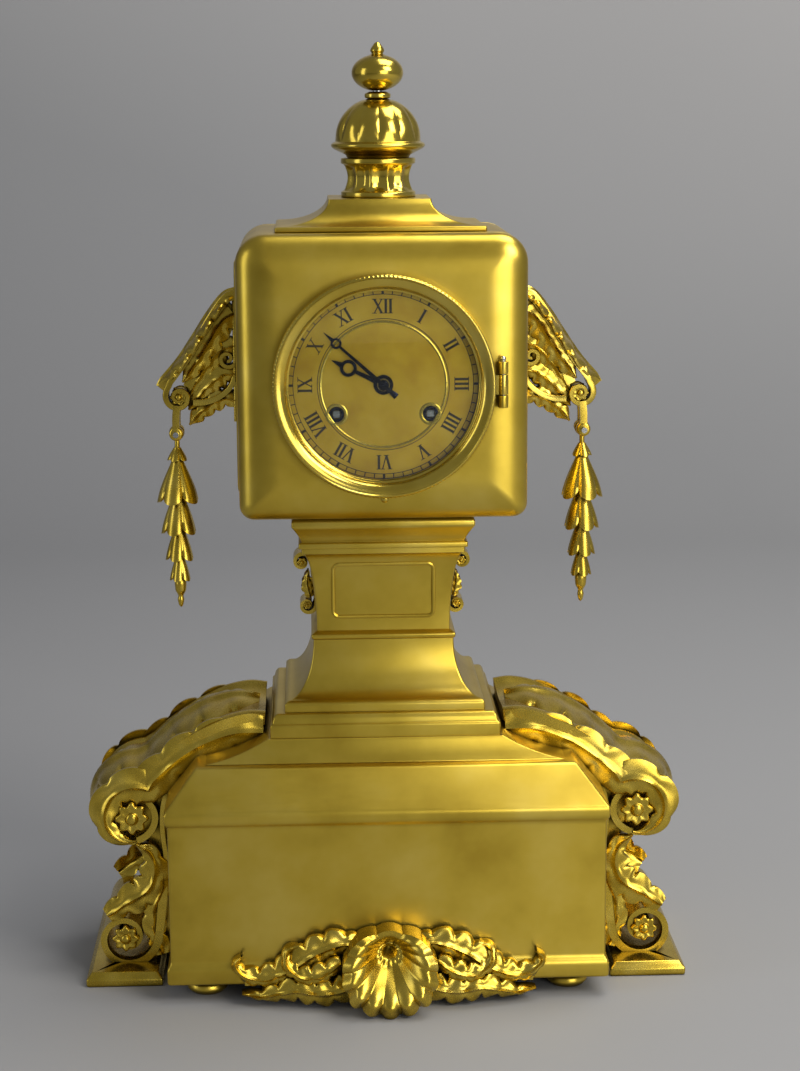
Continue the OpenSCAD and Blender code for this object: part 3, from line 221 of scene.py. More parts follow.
# Finish of each material slot of the record, and the slot of each finish
finishOf = {"gilt_brass": "giltBrass", "gilt_ornament": "giltOrnament", "polished_brass": "polishedBrass",
            "gilt_dial": "giltDial", "blued_hand": "bluedSteel", "movement_brass": "movementBrass",
            "steel": "steel", "spring_steel": "springSteel", "bell_metal": "bellMetal", "glass": "glass"}
slotFor = {finish: slot for slot, finish in finishOf.items()}
slotFor.update(brushedGilt="gilt_brass", blackWax="blued_hand")


# Rounds the corners of an open profile: each corner becomes a parabola between points reach away from it
def soften(profile, reach=0.8, steps=4):
    points = np.array(profile, float)
    out = [points[0]]
    for before, corner, after in zip(points[:-2], points[1:-1], points[2:]):
        a, b = before - corner, after - corner
        la, lb = np.linalg.norm(a), np.linalg.norm(b)
        start, end = corner + a * min(reach / la, 0.45), corner + b * min(reach / lb, 0.45)
        t = np.linspace(0, 1, steps + 1)[:, None]
        out.extend((1 - t) ** 2 * start + 2 * t * (1 - t) * corner + t ** 2 * end)
    out.append(points[-1])
    return np.array(out)


# Smooth line through points: a Catmull-Rom spline sampled evenly by its parameter
def spline(points, count):
    p = np.array(points, float)
    p = np.vstack((2 * p[0] - p[1], p, 2 * p[-1] - p[-2]))
    u = np.linspace(0, len(p) - 3 - 1e-9, count)
    i = u.astype(int)
    t = (u - i)[:, None]
    a, b, c, d = p[i], p[i + 1], p[i + 2], p[i + 3]
    return 0.5 * (2 * b + (c - a) * t + (2 * a - 5 * b + 4 * c - d) * t ** 2 + (3 * b - a - 3 * c + d) * t
                  ** 3)


# The spline through points, sampled in steps and then spaced evenly
def path(points, steps, count):
    return evenly(spline(points, steps), count)


# Unit vectors along a line of points in two or three dimensions
def directions(line):
    along = np.gradient(line, axis=0)
    return along / np.linalg.norm(along, axis=1)[:, None]


# Points (X, Z) of a line stood up in space at depth y
def standing(line, y=0.0):
    return np.column_stack((line[:, 0], np.zeros(len(line)) + y, line[:, 1]))


# Section of a flat ring: radii inner to outer and heights low to high, run once round
def ringSection(inner, outer, low, high):
    return [(inner, low), (outer, low), (outer, high), (inner, high), (inner, low)]


# Spiral round a middle: the angle runs from a0 to a1 degrees while the radius runs from r0 to r1, bent by
# power
def spiral(middle, r0, r1, a0, a1, count, power=1.0):
    t = np.linspace(0, 1, count)
    angle = np.radians(a0 + (a1 - a0) * t)
    r = r0 + (r1 - r0) * t ** power
    return np.column_stack((middle[0] + r * np.cos(angle), middle[1] + r * np.sin(angle)))


# The same line with its points spaced evenly along it
def evenly(line, count):
    length = np.concatenate(([0], np.cumsum(np.linalg.norm(np.diff(line, axis=0), axis=1))))
    at = np.linspace(0, length[-1], count)
    return np.column_stack([np.interp(at, length, line[:, k]) for k in range(line.shape[1])])


# Rectangular block with mitred mouldings. Rows are (half width, half depth, height); at each row the outline
# is a rectangle whose corners are quarter circles of radius corner, and the ends are closed to the middle.
def mitredGrid(rows, corner=0.8, steps=4, closed=(True, True)):
    rows = np.array(rows, float)
    quarter = np.radians(np.linspace(0, 90, steps + 1))
    turn = np.concatenate([quarter + k * pi / 2 for k in range(4)])
    signX, signY = np.repeat([1, -1, -1, 1], steps + 1), np.repeat([1, 1, -1, -1], steps + 1)
    x = signX * (rows[:, :1] - corner) + corner * np.cos(turn)
    y = signY * (rows[:, 1:2] - corner) + corner * np.sin(turn)
    grid = np.stack((x, y, np.repeat(rows[:, 2:3], len(turn), 1)), -1)
    grid = np.concatenate((grid, grid[:, :1]), 1)
    if closed[0]:
        grid = np.concatenate((grid[:1] * (0, 0, 1), grid))
    if closed[1]:
        grid = np.concatenate((grid, grid[-1:] * (0, 0, 1)))
    return grid


# Surface of revolution about Z: profile (radius, height), and the radius at each angle is multiplied by
# 1 + depth * shape(angle), where depth may change along the profile
def turnedGrid(profile, count=64, depth=0.0, shape=np.cos, about=(0, 0)):
    profile = np.array(profile, float)
    angle = np.linspace(0, 2 * pi, count + 1)
    r = profile[:, :1] * (1 + np.reshape(depth, (-1, 1)) * shape(angle)[None, :])
    return np.stack((about[0] + r * np.cos(angle), about[1] + r * np.sin(angle),
                     np.repeat(profile[:, 1:2], count + 1, 1)), -1)


# The same solid turned so that its axis lies along -Y, at (x, z); heights count from y towards the viewer
def facing(grid, x, y, z):
    return np.stack((x + grid[..., 0], y - grid[..., 2], z + grid[..., 1]), -1)


# Band swept along a line in the XZ plane. The section runs once round in (across, out): across is Y times
# halfWidth, out is along the line's normal times thick, and both may change along the line.
def bandGrid(line, halfWidth, thick, section, middleY=0.0):
    along = directions(line)
    normal = np.column_stack((-along[:, 1], along[:, 0]))
    w, h = np.broadcast_to(halfWidth, len(line)), np.broadcast_to(thick, len(line))
    section = np.array(section)
    x = line[:, :1] + normal[:, :1] * h[:, None] * section[:, 1]
    z = line[:, 1:] + normal[:, 1:] * h[:, None] * section[:, 1]
    grid = np.stack((x, middleY + w[:, None] * section[:, 0], z), -1)
    ends = [np.repeat(grid[k:k + 1].mean(1, keepdims=True), grid.shape[1], 1) for k in (0, -1)]
    return np.concatenate((ends[0], grid, ends[1]))


# Acanthus leaf along a space line with unit vectors side and up at each point. Its half width is drawn
# between the places and sizes given by width. Across it runs from -1 to 1; the margin swells and narrows into
# lobes, a midrib stands up, a furrow runs back from every notch, and the margins roll down by roll. It is a
# closed shell: the under side lies thick below the upper side.
def leafGrid(line, side, up, width, lobes=6, relief=1.6, roll=2.0, thick=0.9, across=17, notch=0.34, cup=0.0):
    t = np.linspace(0, 1, len(line))[:, None]
    s = np.linspace(-1, 1, across)[None, :]
    w = np.interp(t, *width)
    lobe = np.abs(np.sin(pi * (lobes * t + 0.12 * np.abs(s)))) ** 0.55
    half = w * (1 - notch + notch * lobe)
    phase = lobes * t - 0.55 * np.abs(s)
    furrow = np.cos(2 * pi * phase) * np.abs(s) ** 0.8 * (1 - 0.4 * np.abs(s))
    height = relief * (0.9 * np.exp(-(s / 0.13) ** 2) - 0.42 * furrow * np.ones_like(t))
    height = height * np.minimum(1, w / (0.35 * w.max())) - roll * np.abs(s) ** 3 + cup * s ** 2
    height = height + 0.5 * roll * (lobe - 0.6) * np.abs(s) ** 4
    top = line[:, None] + side[:, None] * (half * s)[..., None] + up[:, None] * height[..., None]
    under = top - up[:, None] * thick
    return np.concatenate((top, under[:, ::-1], top[:, :1]), 1)


# Puts grids of points in millimetres into one mesh: quads between neighbours, doubles merged so that seams
# and poles close, normals outwards, smooth with edges sharper than sharp degrees kept crisp
def piece(name, grids, material, node=None, body="clock", sharp=38):
    points, faces, start = [], [], 0
    for grid in grids:
        rows, columns = grid.shape[:2]
        index = start + np.arange(rows * columns).reshape(rows, columns)
        quads = np.stack((index[:-1, :-1], index[1:, :-1], index[1:, 1:], index[:-1, 1:]), -1)
        points.append(grid.reshape(-1, 3) * mm)
        faces.append(quads.reshape(-1, 4))
        start += rows * columns
    mesh = bpy.data.meshes.new(name)
    mesh.from_pydata(np.concatenate(points).tolist(), [], np.concatenate(faces).tolist())
    work = bmesh.new()
    work.from_mesh(mesh)
    bmesh.ops.remove_doubles(work, verts=work.verts, dist=0.004 * mm)
    bmesh.ops.dissolve_degenerate(work, edges=work.edges, dist=0.002 * mm)
    bmesh.ops.recalc_face_normals(work, faces=work.faces)
    work.to_mesh(mesh)
    work.free()
    mesh.polygons.foreach_set("use_smooth", np.ones(len(mesh.polygons), bool))
    mesh.set_sharp_from_angle(angle=math.radians(sharp))
    mesh.materials.append(materials[material])
    shown = bpy.data.objects.new(name, mesh)
    bpy.context.scene.collection.objects.link(shown)
    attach(shown, body)
    if node:
        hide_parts(node)


# The same shape on the other side of the clock, X turned about
def mirrored(grid):
    return grid * (-1, 1, 1)


# What a shell built on the right becomes on each side
sides = {"right": np.array, "left": mirrored}


# Tube along a closed or open space line: the section is a flattened circle, out standing from the face
def beadGrid(line, side, out, half, rise, steps=8):
    angle = np.linspace(0, 2 * pi, steps + 1)
    across = side[:, None] * (half * np.cos(angle))[None, :, None]
    return line[:, None] + across + out[:, None] * (rise * np.sin(angle))[None, :, None]


# Outline of a rounded rectangle, started in the middle of its right side and run once round
def roundedOutline(halfWidth, halfHeight, corner, steps=8):
    quarter = np.radians(np.linspace(0, 90, steps + 1))
    parts = []
    for k, (sx, sz) in enumerate(((1, 1), (-1, 1), (-1, -1), (1, -1))):
        turn = quarter + k * pi / 2
        parts.append(np.column_stack((sx * (halfWidth - corner) + corner * np.cos(turn),
                                      sz * (halfHeight - corner) + corner * np.sin(turn))))
    loop = np.concatenate(parts)
    return np.concatenate((loop, loop[:1]))


# Base: block with its skirt and top bead, the bevelled cap, and four turned feet
print("base block and feet")
base = dict(skirt=7, panelStep=1.4, beadHigh=4.5, arris=1.4)
(_, _, blockLow), (blockW, blockD, blockHigh) = boxOf("base_block")
(_, _, plinthLow), (plinthW, plinthD, plinthHigh) = boxOf("plinth")
capHigh = 16
faceTop = blockHigh - capHigh
step = base["panelStep"]
blockProfile = soften([(6, blockLow), (0, blockLow), (0, blockLow + base["skirt"]),
                       (step, blockLow + base["skirt"] + 2), (step, faceTop - base["beadHigh"] - 1.5),
                       (0.1, faceTop - base["beadHigh"]), (0, faceTop), (13, blockHigh - 0.05),
                       (16, blockHigh - 0.05)], base["arris"])
blockRows = np.column_stack((blockW - blockProfile[:, 0], blockD - blockProfile[:, 0], blockProfile[:, 1]))
piece("baseBlock", [mitredGrid(blockRows, 1.2)], "brushedGilt", "base_block")

_, footHigh = boxOf("feet")
footAt = footHigh[:2] - 9
footProfile = soften([(0, 0), (6.6, 0), (8.9, 2.2), (8.4, 4.6), (6.2, 6.2), (7.8, 7.2),
                      (7.8, blockLow - 0.05), (0, blockLow - 0.05)], 0.9)
piece("feet", [turnedGrid(footProfile, 40, about=(sx * footAt[0], sy * footAt[1])) for sx in (-1, 1)
               for sy in (-1, 1)], "giltBrass", "feet")

# Neck that slopes up from the cap to the plinth slab, and the slab with its ovolo edge
print("plinth and pedestal")
plinth = dict(slabHalf=(48, 42), neckHigh=10)
slabW, slabD = plinth["slabHalf"]
slabLow = plinthLow + plinth["neckHigh"]
t = np.linspace(0, 1, 12)
neck = np.column_stack((plinthW + (slabW + 1.2 - plinthW) * t, plinthD + (slabD + 0.8 - plinthD) * t,
                        plinthLow + plinth["neckHigh"] * (0.45 * t + 0.55 * t ** 2)))
slab = soften([(0, slabLow), (0, plinthHigh - 4.5), (-0.9, plinthHigh - 4), (-1.4, plinthHigh - 1.6),
               (-2.6, plinthHigh - 0.05), (-8, plinthHigh - 0.05)], 0.7)
slabRows = np.column_stack((slabW + slab[:, 0], slabD + slab[:, 0], slab[:, 1]))
piece("plinth", [mitredGrid(np.concatenate((neck, slabRows)), 0.9)], "giltBrass", "plinth")

# Pedestal: flared foot, waist with a bead, and a shaft that spreads to the collar
pedestal = dict(waistInset=14, spread=6, flareHigh=31)
(_, _, flareLow), (flareW, flareD, collarLow) = boxOf("pedestal")
waist = flareLow + pedestal["flareHigh"]
inset, spread = pedestal["waistInset"], pedestal["spread"]
t = np.linspace(0, pi / 2, 16)
flare = np.column_stack((1.5 + (inset - 3) * np.sin(t), flareLow + 4.5 + (waist - flareLow - 7.5)
                         * (1 - np.cos(t))))
shaft = np.column_stack((inset - spread * (1 - np.cos(t)), waist + 0.6 + (collarLow - 3 - waist) * np.sin(t)))
pedestalProfile = np.concatenate((soften([(0.2, flareLow), (0.2, flareLow + 3.4), tuple(flare[0])], 0.7),
                                  flare, soften([(inset - 1.4, waist - 3), (inset - 2.2, waist - 2.6),
                                                 (inset - 2.4, waist - 1), (inset - 1.4, waist - 0.2),
                                                 tuple(shaft[0])], 0.5), shaft, [(inset - spread,
                                                                                  collarLow - 0.05)]))
pedestalRows = np.column_stack((flareW - pedestalProfile[:, 0], flareD - pedestalProfile[:, 0],
                                pedestalProfile[:, 1]))
# Bead that frames a panel on the front and the back of the shaft and follows its hollow
panelLine = roundedOutline(21, 11.5, 2.5, 8) + (0, (waist + collarLow) / 2 - 0.5)
panelIn = np.interp(panelLine[:, 1], pedestalProfile[:, 1], pedestalProfile[:, 0])
along = directions(panelLine)
panelSpace = np.column_stack((panelLine[:, 0], panelIn - flareD, panelLine[:, 1]))
panel = beadGrid(panelSpace, np.column_stack((-along[:, 1], 0 * panelIn, along[:, 0])),
                 np.repeat([[0.0, -1.0, 0.0]], len(panelLine), 0), 0.8, 0.7)
piece("pedestal", [mitredGrid(pedestalRows, 0.9), panel, panel * (1, -1, 1)], "giltBrass", "pedestal")

# Collar under the case: fillet, hollow and a round top edge
(_, _, _), (collarW, collarD, caseLow) = boxOf("collar")
t = np.linspace(0, pi / 2, 10)
collarFoot = soften([(3.4, collarLow), (2.8, collarLow), (2.8, collarLow + 2.2), (4, collarLow + 2.6)], 0.5)
collarHollow = np.column_stack((4 * np.cos(t), collarLow + 2.8 + 6.8 * (1 - np.cos(t)) ** 0.8))
collarProfile = np.concatenate((collarFoot, collarHollow,
                                soften([(0, collarLow + 10.2), (0, caseLow - 2.2), (1.2, caseLow - 0.5),
                                        (3, caseLow - 0.05)], 0.8)))
collarRows = np.column_stack((collarW - collarProfile[:, 0], collarD - collarProfile[:, 0],
                              collarProfile[:, 1]))
piece("collar", [mitredGrid(collarRows, 0.8)], "giltBrass", "collar")

# Roof: a low eaves fillet and a hollow curve up to the square top
print("roof and finial")
(_, _, roofLow), (roofW, roofD, stemLow) = boxOf("roof")
roof = dict(topHalf=21, eaves=2)
t = np.linspace(0, 1, 20)
rise = (stemLow - roofLow - roof["eaves"] - 0.35) * (1 - np.cos(t * pi / 2))
roofRows = np.column_stack((roofW - 1 + (roof["topHalf"] - roofW + 1) * np.sin(t * pi / 2),
                            roofD - 1 + (roof["topHalf"] - roofD + 1) * np.sin(t * pi / 2),
                            roofLow + roof["eaves"] + 0.3 + rise))
eaves = soften([(-2, roofLow + 0.05), (0, roofLow + 0.05), (0, roofLow + roof["eaves"]),
                (-1, roofLow + roof["eaves"] + 0.3)], 0.5)
eavesRows = np.column_stack((roofW + eaves[:, 0], roofD + eaves[:, 0], eaves[:, 1]))
piece("roof", [mitredGrid(np.concatenate((eavesRows, roofRows)), 0.9)], "giltBrass", "roof")

# Finial: fluted stem, an urn whose lower half is lobed, a ball and a tip, all turned about Z
finial = dict(flutes=12, fluteDeep=0.09, lobes=12, lobeDeep=0.05, waistDeep=1.4)
(_, _, _), (stemR, _, urnLow) = boxOf("finial_stem")
(_, _, _), (urnR, _, ballLow) = boxOf("finial_urn")
(_, _, _), (ballR, _, tipHigh) = boxOf("finial_ball")
stemFoot = soften([(0, stemLow + 0.05), (stemR, stemLow + 0.05), (stemR, stemLow + 2.2),
                   (stemR - 0.9, stemLow + 2.6)], 0.5)
stemWaist = np.column_stack((stemR - 1.0 - finial["waistDeep"] * np.sin(np.linspace(0, pi, 14)),
                             np.linspace(stemLow + 2.8, urnLow - 2.8, 14)))
stemProfile = np.concatenate((stemFoot, stemWaist,
                              soften([(stemR - 0.9, urnLow - 2.6), (stemR, urnLow - 2.2),
                                      (stemR, urnLow - 0.05), (0, urnLow - 0.05)], 0.5)))
v = np.clip((stemProfile[:, 1] - stemLow - 2.6) / (urnLow - stemLow - 5.2), 0, 1)
fluting = finial["fluteDeep"] * np.minimum(1, 6 * np.minimum(v, 1 - v)) * (stemProfile[:, 0] > 1)
stem = turnedGrid(stemProfile, 288, -fluting, lambda a: np.abs(np.cos(finial["flutes"] * a / 2)) ** 1.5)
piece("finialStem", [stem], "polishedBrass", "finial_stem")

urnProfile = soften([(0, urnLow), (stemR - 2.6, urnLow), (stemR - 2.2, urnLow + 1.2),
                     (urnR - 1.2, urnLow + 3.6), (urnR, urnLow + 4.6), (urnR, urnLow + 5.8),
                     (urnR - 1.6, urnLow + 6.6)], 0.8)
neckR = 4.0
domeHigh = ballLow - 3 - urnLow - 6.8
t = np.linspace(0, 1, 26)
dome = np.column_stack((neckR + (urnR - 1.8 - neckR) * (1 - t ** 2.2) ** 0.62, urnLow + 6.8 + domeHigh * t))
urnTop = soften([tuple(dome[-1]), (neckR + 1.4, ballLow - 2.6), (neckR + 1.4, ballLow - 0.9),
                 (neckR - 0.6, ballLow - 0.05), (0, ballLow - 0.05)], 0.5)
urnProfile = np.concatenate((urnProfile, dome, urnTop))
v = np.clip((urnProfile[:, 1] - urnLow - 6.8) / domeHigh, 0, 1)
lobing = finial["lobeDeep"] * np.sin(pi * np.minimum(1, 1.15 * v)) * (v < 0.9)
urn = turnedGrid(urnProfile, 240, lobing, lambda a: np.abs(np.sin(finial["lobes"] * a / 2)) ** 0.7 - 0.7)
piece("finialUrn", [urn], "polishedBrass", "finial_urn")

ballHigh = 14.5
middle = ballLow + ballHigh / 2 + 0.3
turn = np.linspace(-1.28, 1.2, 26)
ballProfile = np.concatenate(([(0, ballLow + 0.05)],
                              np.column_stack((ballR * np.cos(turn),
                                               middle + (ballHigh / 2 + 0.2) * np.sin(turn))),
                              soften([(3.2, ballLow + ballHigh + 0.2), (2.2, ballLow + ballHigh + 0.8),
                                      (3.0, ballLow + ballHigh + 1.8), (2.6, tipHigh - 2.6),
                                      (1.0, tipHigh - 0.4), (0, tipHigh)], 0.5)))
piece("finialBall", [turnedGrid(ballProfile, 72)], "polishedBrass", "finial_ball")

# Side scrolls: a rolled band from the plinth over the cap to an outer volute, a second band that curls out on
# the floor, acanthus on both, and a rosette in each eye
print("side scrolls")
sideScroll = dict(half=30, faceHalf=34, coreHalf=22, upperMiddle=(107.2, 71), upperR=17.5,
                  lowerMiddle=(111.5, 16.6), lowerR=14)
bandSection = [(-1, -0.5), (-1, 0.35), (-0.93, 0.5), (-0.85, 0.5), (-0.78, 0.22), (0, 0.1), (0.78, 0.22),
               (0.85, 0.5), (0.93, 0.5), (1, 0.35), (1, -0.5), (0.9, -0.5), (-0.9, -0.5), (-1, -0.5)]
up, low = sideScroll["upperMiddle"], sideScroll["lowerMiddle"]
lead = spline([(50.5, 112.6), (58, 113.2), (68, 111), (79, 106), (90, 99), (99.6, 91)], 40)
upperCurl = spiral(up, sideScroll["upperR"], 3.2, 100, -520, 120, 0.75)
upperLine = evenly(np.concatenate((lead, upperCurl)), 190)
lowerCurl = spiral(low, sideScroll["lowerR"], 2.6, 176, 740, 110, 0.75)
lowerLine = evenly(np.concatenate((spline([(103, 57), (97.5, 48), (95.6, 38), (96.4, 27),
                                           tuple(lowerCurl[0])], 30), lowerCurl)), 160)


# Unit vectors up (the line's normal) and side (Y) for a leaf that follows a line in the XZ plane
def leafOn(line, lift, **look):
    space = standing(line)
    side = np.repeat([[0.0, 1.0, 0.0]], len(line), 0)
    upward = np.cross(directions(space), side)
    return leafGrid(space + upward * np.reshape(lift, (-1, 1)), side, upward, **look)


# Leaf laid on a face that looks along -Y (or +Y): side lies in the face, across the line
def leafFlat(line, y, face=-1, **look):
    upward = np.repeat([[0.0, float(face), 0.0]], len(line), 0)
    return leafGrid(standing(line, y), np.cross(directions(standing(line)), upward), upward, **look)


# Rosette turned about the Y axis: petals are waves in the radius, with a domed button in the middle
def rosette(at, y, r, face=-1, petals=8, high=3.0):
    profile = [(0, 0), (r * 0.9, 0), (r, high * 0.25), (r * 0.86, high * 0.62), (r * 0.55, high * 0.5),
               (r * 0.42, high * 0.46), (r * 0.4, high * 0.7), (r * 0.25, high), (0, high * 1.06)]
    grid = turnedGrid(soften(profile, 0.6), petals * 12,
                      np.array([0.12 if p[0] > r * 0.5 else 0.0 for p in soften(profile, 0.6)]),
                      lambda a: np.cos(petals * a))
    return facing(grid, at[0], y, at[1]) if face < 0 else facing(grid * (1, 1, -1), at[0], y, at[1])


s = np.linspace(0, 1, len(upperLine))
upperHalf = sideScroll["half"] * (0.9 + 0.1 * np.sin(np.minimum(1, s * 6) * pi / 2)) - 4 * s
upperBand = bandGrid(upperLine, upperHalf, 5.4 - 3.0 * s, bandSection)
s = np.linspace(0, 1, len(lowerLine))
lowerBand = bandGrid(lowerLine, 26 + 4 * np.minimum(1, 3 * s) - 3 * s, 5.0 - 2.8 * s, bandSection)
leafLine = evenly(np.concatenate((spline([(53, 115), (61, 116.4), (71, 115), (82, 110.4), (92.4, 103),
                                          (102, 93.4)], 40), spiral(up, 20.4, 16.6, 92, -62, 50))), 120)
s = np.linspace(0, 1, len(leafLine))
backLeaf = leafOn(leafLine, -0.2 + 2.2 * s ** 6,
                  width=([0, 0.03, 0.12, 0.5, 0.85, 1], [9, 17, 25, 29, 24, 1.5]), lobes=8, relief=2.0,
                  roll=5.0, thick=1.1, notch=0.3, across=25)
cheeks = []
for face in (-1, 1):
    y = face * sideScroll["faceHalf"]
    cheekLine = evenly(np.concatenate((spline([(51.2, 107), (64, 106.8), (78, 102), (89, 95), (98, 87)], 30),
                                       spiral(up, 14.2, 9.8, 120, -100, 40))), 90)
    s = np.linspace(0, 1, len(cheekLine))
    cheeks.append(leafFlat(cheekLine, y - face * (6 - 4.6 * s), face,
                           width=([0, 0.3, 0.55, 0.8, 1], [8, 8.5, 9, 6.5, 0.8]), lobes=7, relief=1.3,
                           roll=1.2, thick=1.6, notch=0.36))
    riseLine = path([(119, 27), (111, 32.5), (102, 38), (98.5, 46), (100, 54), (106, 58.5)], 60, 70)
    cheeks.append(leafFlat(riseLine, y - face * 5.4, face, width=([0, 0.35, 0.7, 1], [4, 8, 6.5, 0.8]),
                           lobes=5, relief=1.3, roll=1.0, thick=1.6, notch=0.36))
    footLine = path([(96, 9), (99, 20), (99, 30), (95.5, 38), (94.5, 46)], 50, 60)
    cheeks.append(leafFlat(footLine, y - face * 6.2, face, width=([0, 0.4, 0.8, 1], [4, 5.4, 4, 0.8]),
                           lobes=4, relief=1.1, roll=0.8, thick=1.6))
    cheeks.append(rosette(up, y - face * 3.4, 6.6, face))
    cheeks.append(rosette(low, y - face * 6.4, 5.4, face))
# Core of the casting between the two bands and its seat on the block, set back behind the leaves: straight
# rungs join the outer and the inner line, and each rung is a rectangle that reaches coreHalf each way in Y
coreOuter = path([(50.8, 110), (68, 108), (79, 103), (90, 96), (101, 86), (104, 72), (102, 58), (99, 48),
                  (99, 30), (103, 14)], 60, 60)
coreInner = evenly(np.array([(50.6, plinthLow + plinth["neckHigh"] + 0.8),
                             (56.4, plinthLow + plinth["neckHigh"] + 0.5), (blockW - 12.8, blockHigh + 0.5),
                             (blockW + 0.3, faceTop + 0.2), (blockW + 0.3, blockLow + 6)], float), 60)
rungs = np.stack((coreOuter, coreInner, coreInner, coreOuter, coreOuter), 1)
coreY = np.broadcast_to(np.array([-1.0, -1.0, 1.0, 1.0, -1.0]) * sideScroll["coreHalf"], (60, 5))
core = np.stack((rungs[..., 0], coreY, rungs[..., 1]), -1)
core = np.concatenate((np.repeat(core[:1].mean(1, keepdims=True), 5, 1), core,
                       np.repeat(core[-1:].mean(1, keepdims=True), 5, 1)))
# Web behind the leaves, and the flat foot
webLine = spline([(52, 103.5), (70, 99), (84, 90), (93, 80), (95, 66), (93.6, 50), (94, 36), (96, 20),
                  (97, 9)], 60)
web = bandGrid(webLine, 27, 2.2, bandSection)
footRows = soften([(0, 0.0), (17.5, 0.0), (17.8, 1.0), (17.8, 3.2), (16.4, 4.8), (15.6, 6), (0, 6)], 0.5)
footBlock = mitredGrid(np.column_stack((footRows[:, 0] - 1.6, footRows[:, 0] + 24, footRows[:, 1])),
                       0.9) + (111.4, 0, 0)
shell = [upperBand, lowerBand, backLeaf, core, web, footBlock] + cheeks
for side, turned in sides.items():
    piece("sideScroll" + side.capitalize(), [turned(g) for g in shell], "giltOrnament", "side_scroll_" + side,
          sharp=50)

# Scroll brackets on the shaft: a C-scroll seen from the front, with a curl above and one below
print("brackets")
bracket = dict(half=7.6, upperMiddle=(33.9, 175.4), upperR=4.5, lowerMiddle=(31.9, 156.6), lowerR=3.7)
topCurl = spiral(bracket["upperMiddle"], bracket["upperR"], 1.0, 180, -290, 60, 0.8)[::-1]
footCurl = spiral(bracket["lowerMiddle"], bracket["lowerR"], 0.9, 180, 620, 60, 0.8)
bracketLine = evenly(np.concatenate((topCurl, spline([(29.3, 171), (28.4, 166), (28.0, 161)], 12), footCurl)),
                     130)
s = np.linspace(0, 1, len(bracketLine))
bracketBand = bandGrid(bracketLine, bracket["half"] - 1.6 * np.abs(2 * s - 1), 1.1 + 1.1 * np.sin(pi * s),
                       bandSection)
sprig = path([(30.6, 159.8), (31.6, 163.5), (32.0, 167), (31.4, 170.6)], 30, 30)
sprigs = [leafFlat(sprig, face * 4.6, face, width=([0, 0.4, 1], [1.6, 3.0, 0.4]), lobes=4, relief=0.6,
                   roll=0.5, thick=1.4) for face in (-1, 1)]
buttons = [rosette(bracket[at], face * 6.2, r, face, 6, 1.6)
           for at, r in (("upperMiddle", 2.0), ("lowerMiddle", 1.6)) for face in (-1, 1)]
piece("pedestalBrackets", [turned(g) for g in [bracketBand] + sprigs + buttons for turned in sides.values()],
      "giltOrnament", "pedestal_brackets", sharp=50)

# Handles: a leaf-clad scroll that falls from the case to an outer curl, a counter scroll and the drop's fork
print("handles and drops")
handle = dict(half=6.4, curlMiddle=(84.6, 246.4), curlR=6.2, pin=(86, 231), forkGap=3.2, forkHalf=1.3)
fall = spline([(59.6, 289.6), (64.3, 287.4), (70.2, 279.6), (76.2, 270), (82.4, 260.4), (88.2, 252.6)], 50)
handleLine = evenly(np.concatenate((fall,
                                    spiral(handle["curlMiddle"], handle["curlR"], 1.3, 48, -520, 80, 0.8))),
                    150)
s = np.linspace(0, 1, len(handleLine))
handleBand = bandGrid(handleLine, handle["half"] - 1.2 * s, 4.2 - 2.9 * s, bandSection)
counterLine = evenly(np.concatenate((spiral((63.9, 262.4), 4.2, 1.0, 205, 640, 50, 0.8)[::-1],
                                     spline([(60.4, 256.6), (63, 250.4), (67.8, 246.4), (73.2, 244.4),
                                             (78.6, 244.2)], 30))), 100)
s = np.linspace(0, 1, len(counterLine))
counterBand = bandGrid(counterLine, 5.2, 1.4 + 1.2 * s, bandSection)
topLine = path([(59.8, 291.0), (65.0, 289.0), (71.4, 281.2), (77.6, 271.6), (84, 261.9), (90, 254.4),
                (93.2, 250.4)], 60, 90)
s = np.linspace(0, 1, len(topLine))
topLeaf = leafOn(topLine, 0.2 + 0.8 * s ** 4, width=([0, 0.15, 0.5, 0.85, 1], [6, 9.4, 10.4, 7.4, 0.8]),
                 lobes=6, relief=1.2, roll=2.6, thick=0.9, notch=0.36, across=21)
faceLine = path([(61.0, 281.4), (66.2, 277.4), (71.2, 269.4), (77.4, 260.2), (82.8, 252.8)], 50, 60)
faceLeaves = [leafFlat(faceLine, face * 5.4, face, width=([0, 0.4, 0.8, 1], [4.4, 6.2, 4.4, 0.6]), lobes=5,
                       relief=1.0, roll=0.9, thick=1.8) for face in (-1, 1)]
plateLine = path([(60.6, 283.5), (65.4, 278), (69, 269), (75, 259), (80, 250)], 30, 30)
handlePlate = bandGrid(plateLine, 3.6, np.linspace(11, 6, 30), bandSection)
pinX, pinZ = handle["pin"]
fork = []
for face in (-1, 1):
    forkLine = path([(85.4, 243), (86, 238), (86, pinZ)], 12, 14)
    fork.append(bandGrid(forkLine, handle["forkHalf"], 3.0, bandSection,
                         face * (handle["forkGap"] + handle["forkHalf"])))
    knuckle = soften([(0, 0), (3.0, 0), (3.0, 2.4), (2.2, 3.0), (1.3, 3.0), (0, 3.4)], 0.4)
    fork.append(facing(turnedGrid(knuckle, 32) * (1, 1, -face), pinX, face * handle["forkGap"], pinZ))
curlRoses = [rosette(handle["curlMiddle"], face * 3.6, 3.6, face, 7, 2.4) for face in (-1, 1)]
fill = []
fillLeaves = (
    ([(60.4, 268), (66.4, 266), (72.6, 259.4), (77.6, 251.6), (80.4, 246.6)], [3.6, 6.4, 5.6, 0.6], 5),
    ([(60.2, 256), (65.6, 255.6), (71.4, 251.8), (76.6, 246.2), (80.6, 240.8)], [3.4, 5.8, 4.6, 0.6], 5),
    ([(60.2, 244.6), (65.2, 245.6), (70.8, 243.6), (76, 239.4), (80.4, 234.4)], [3.0, 4.8, 3.6, 0.6], 4),
)
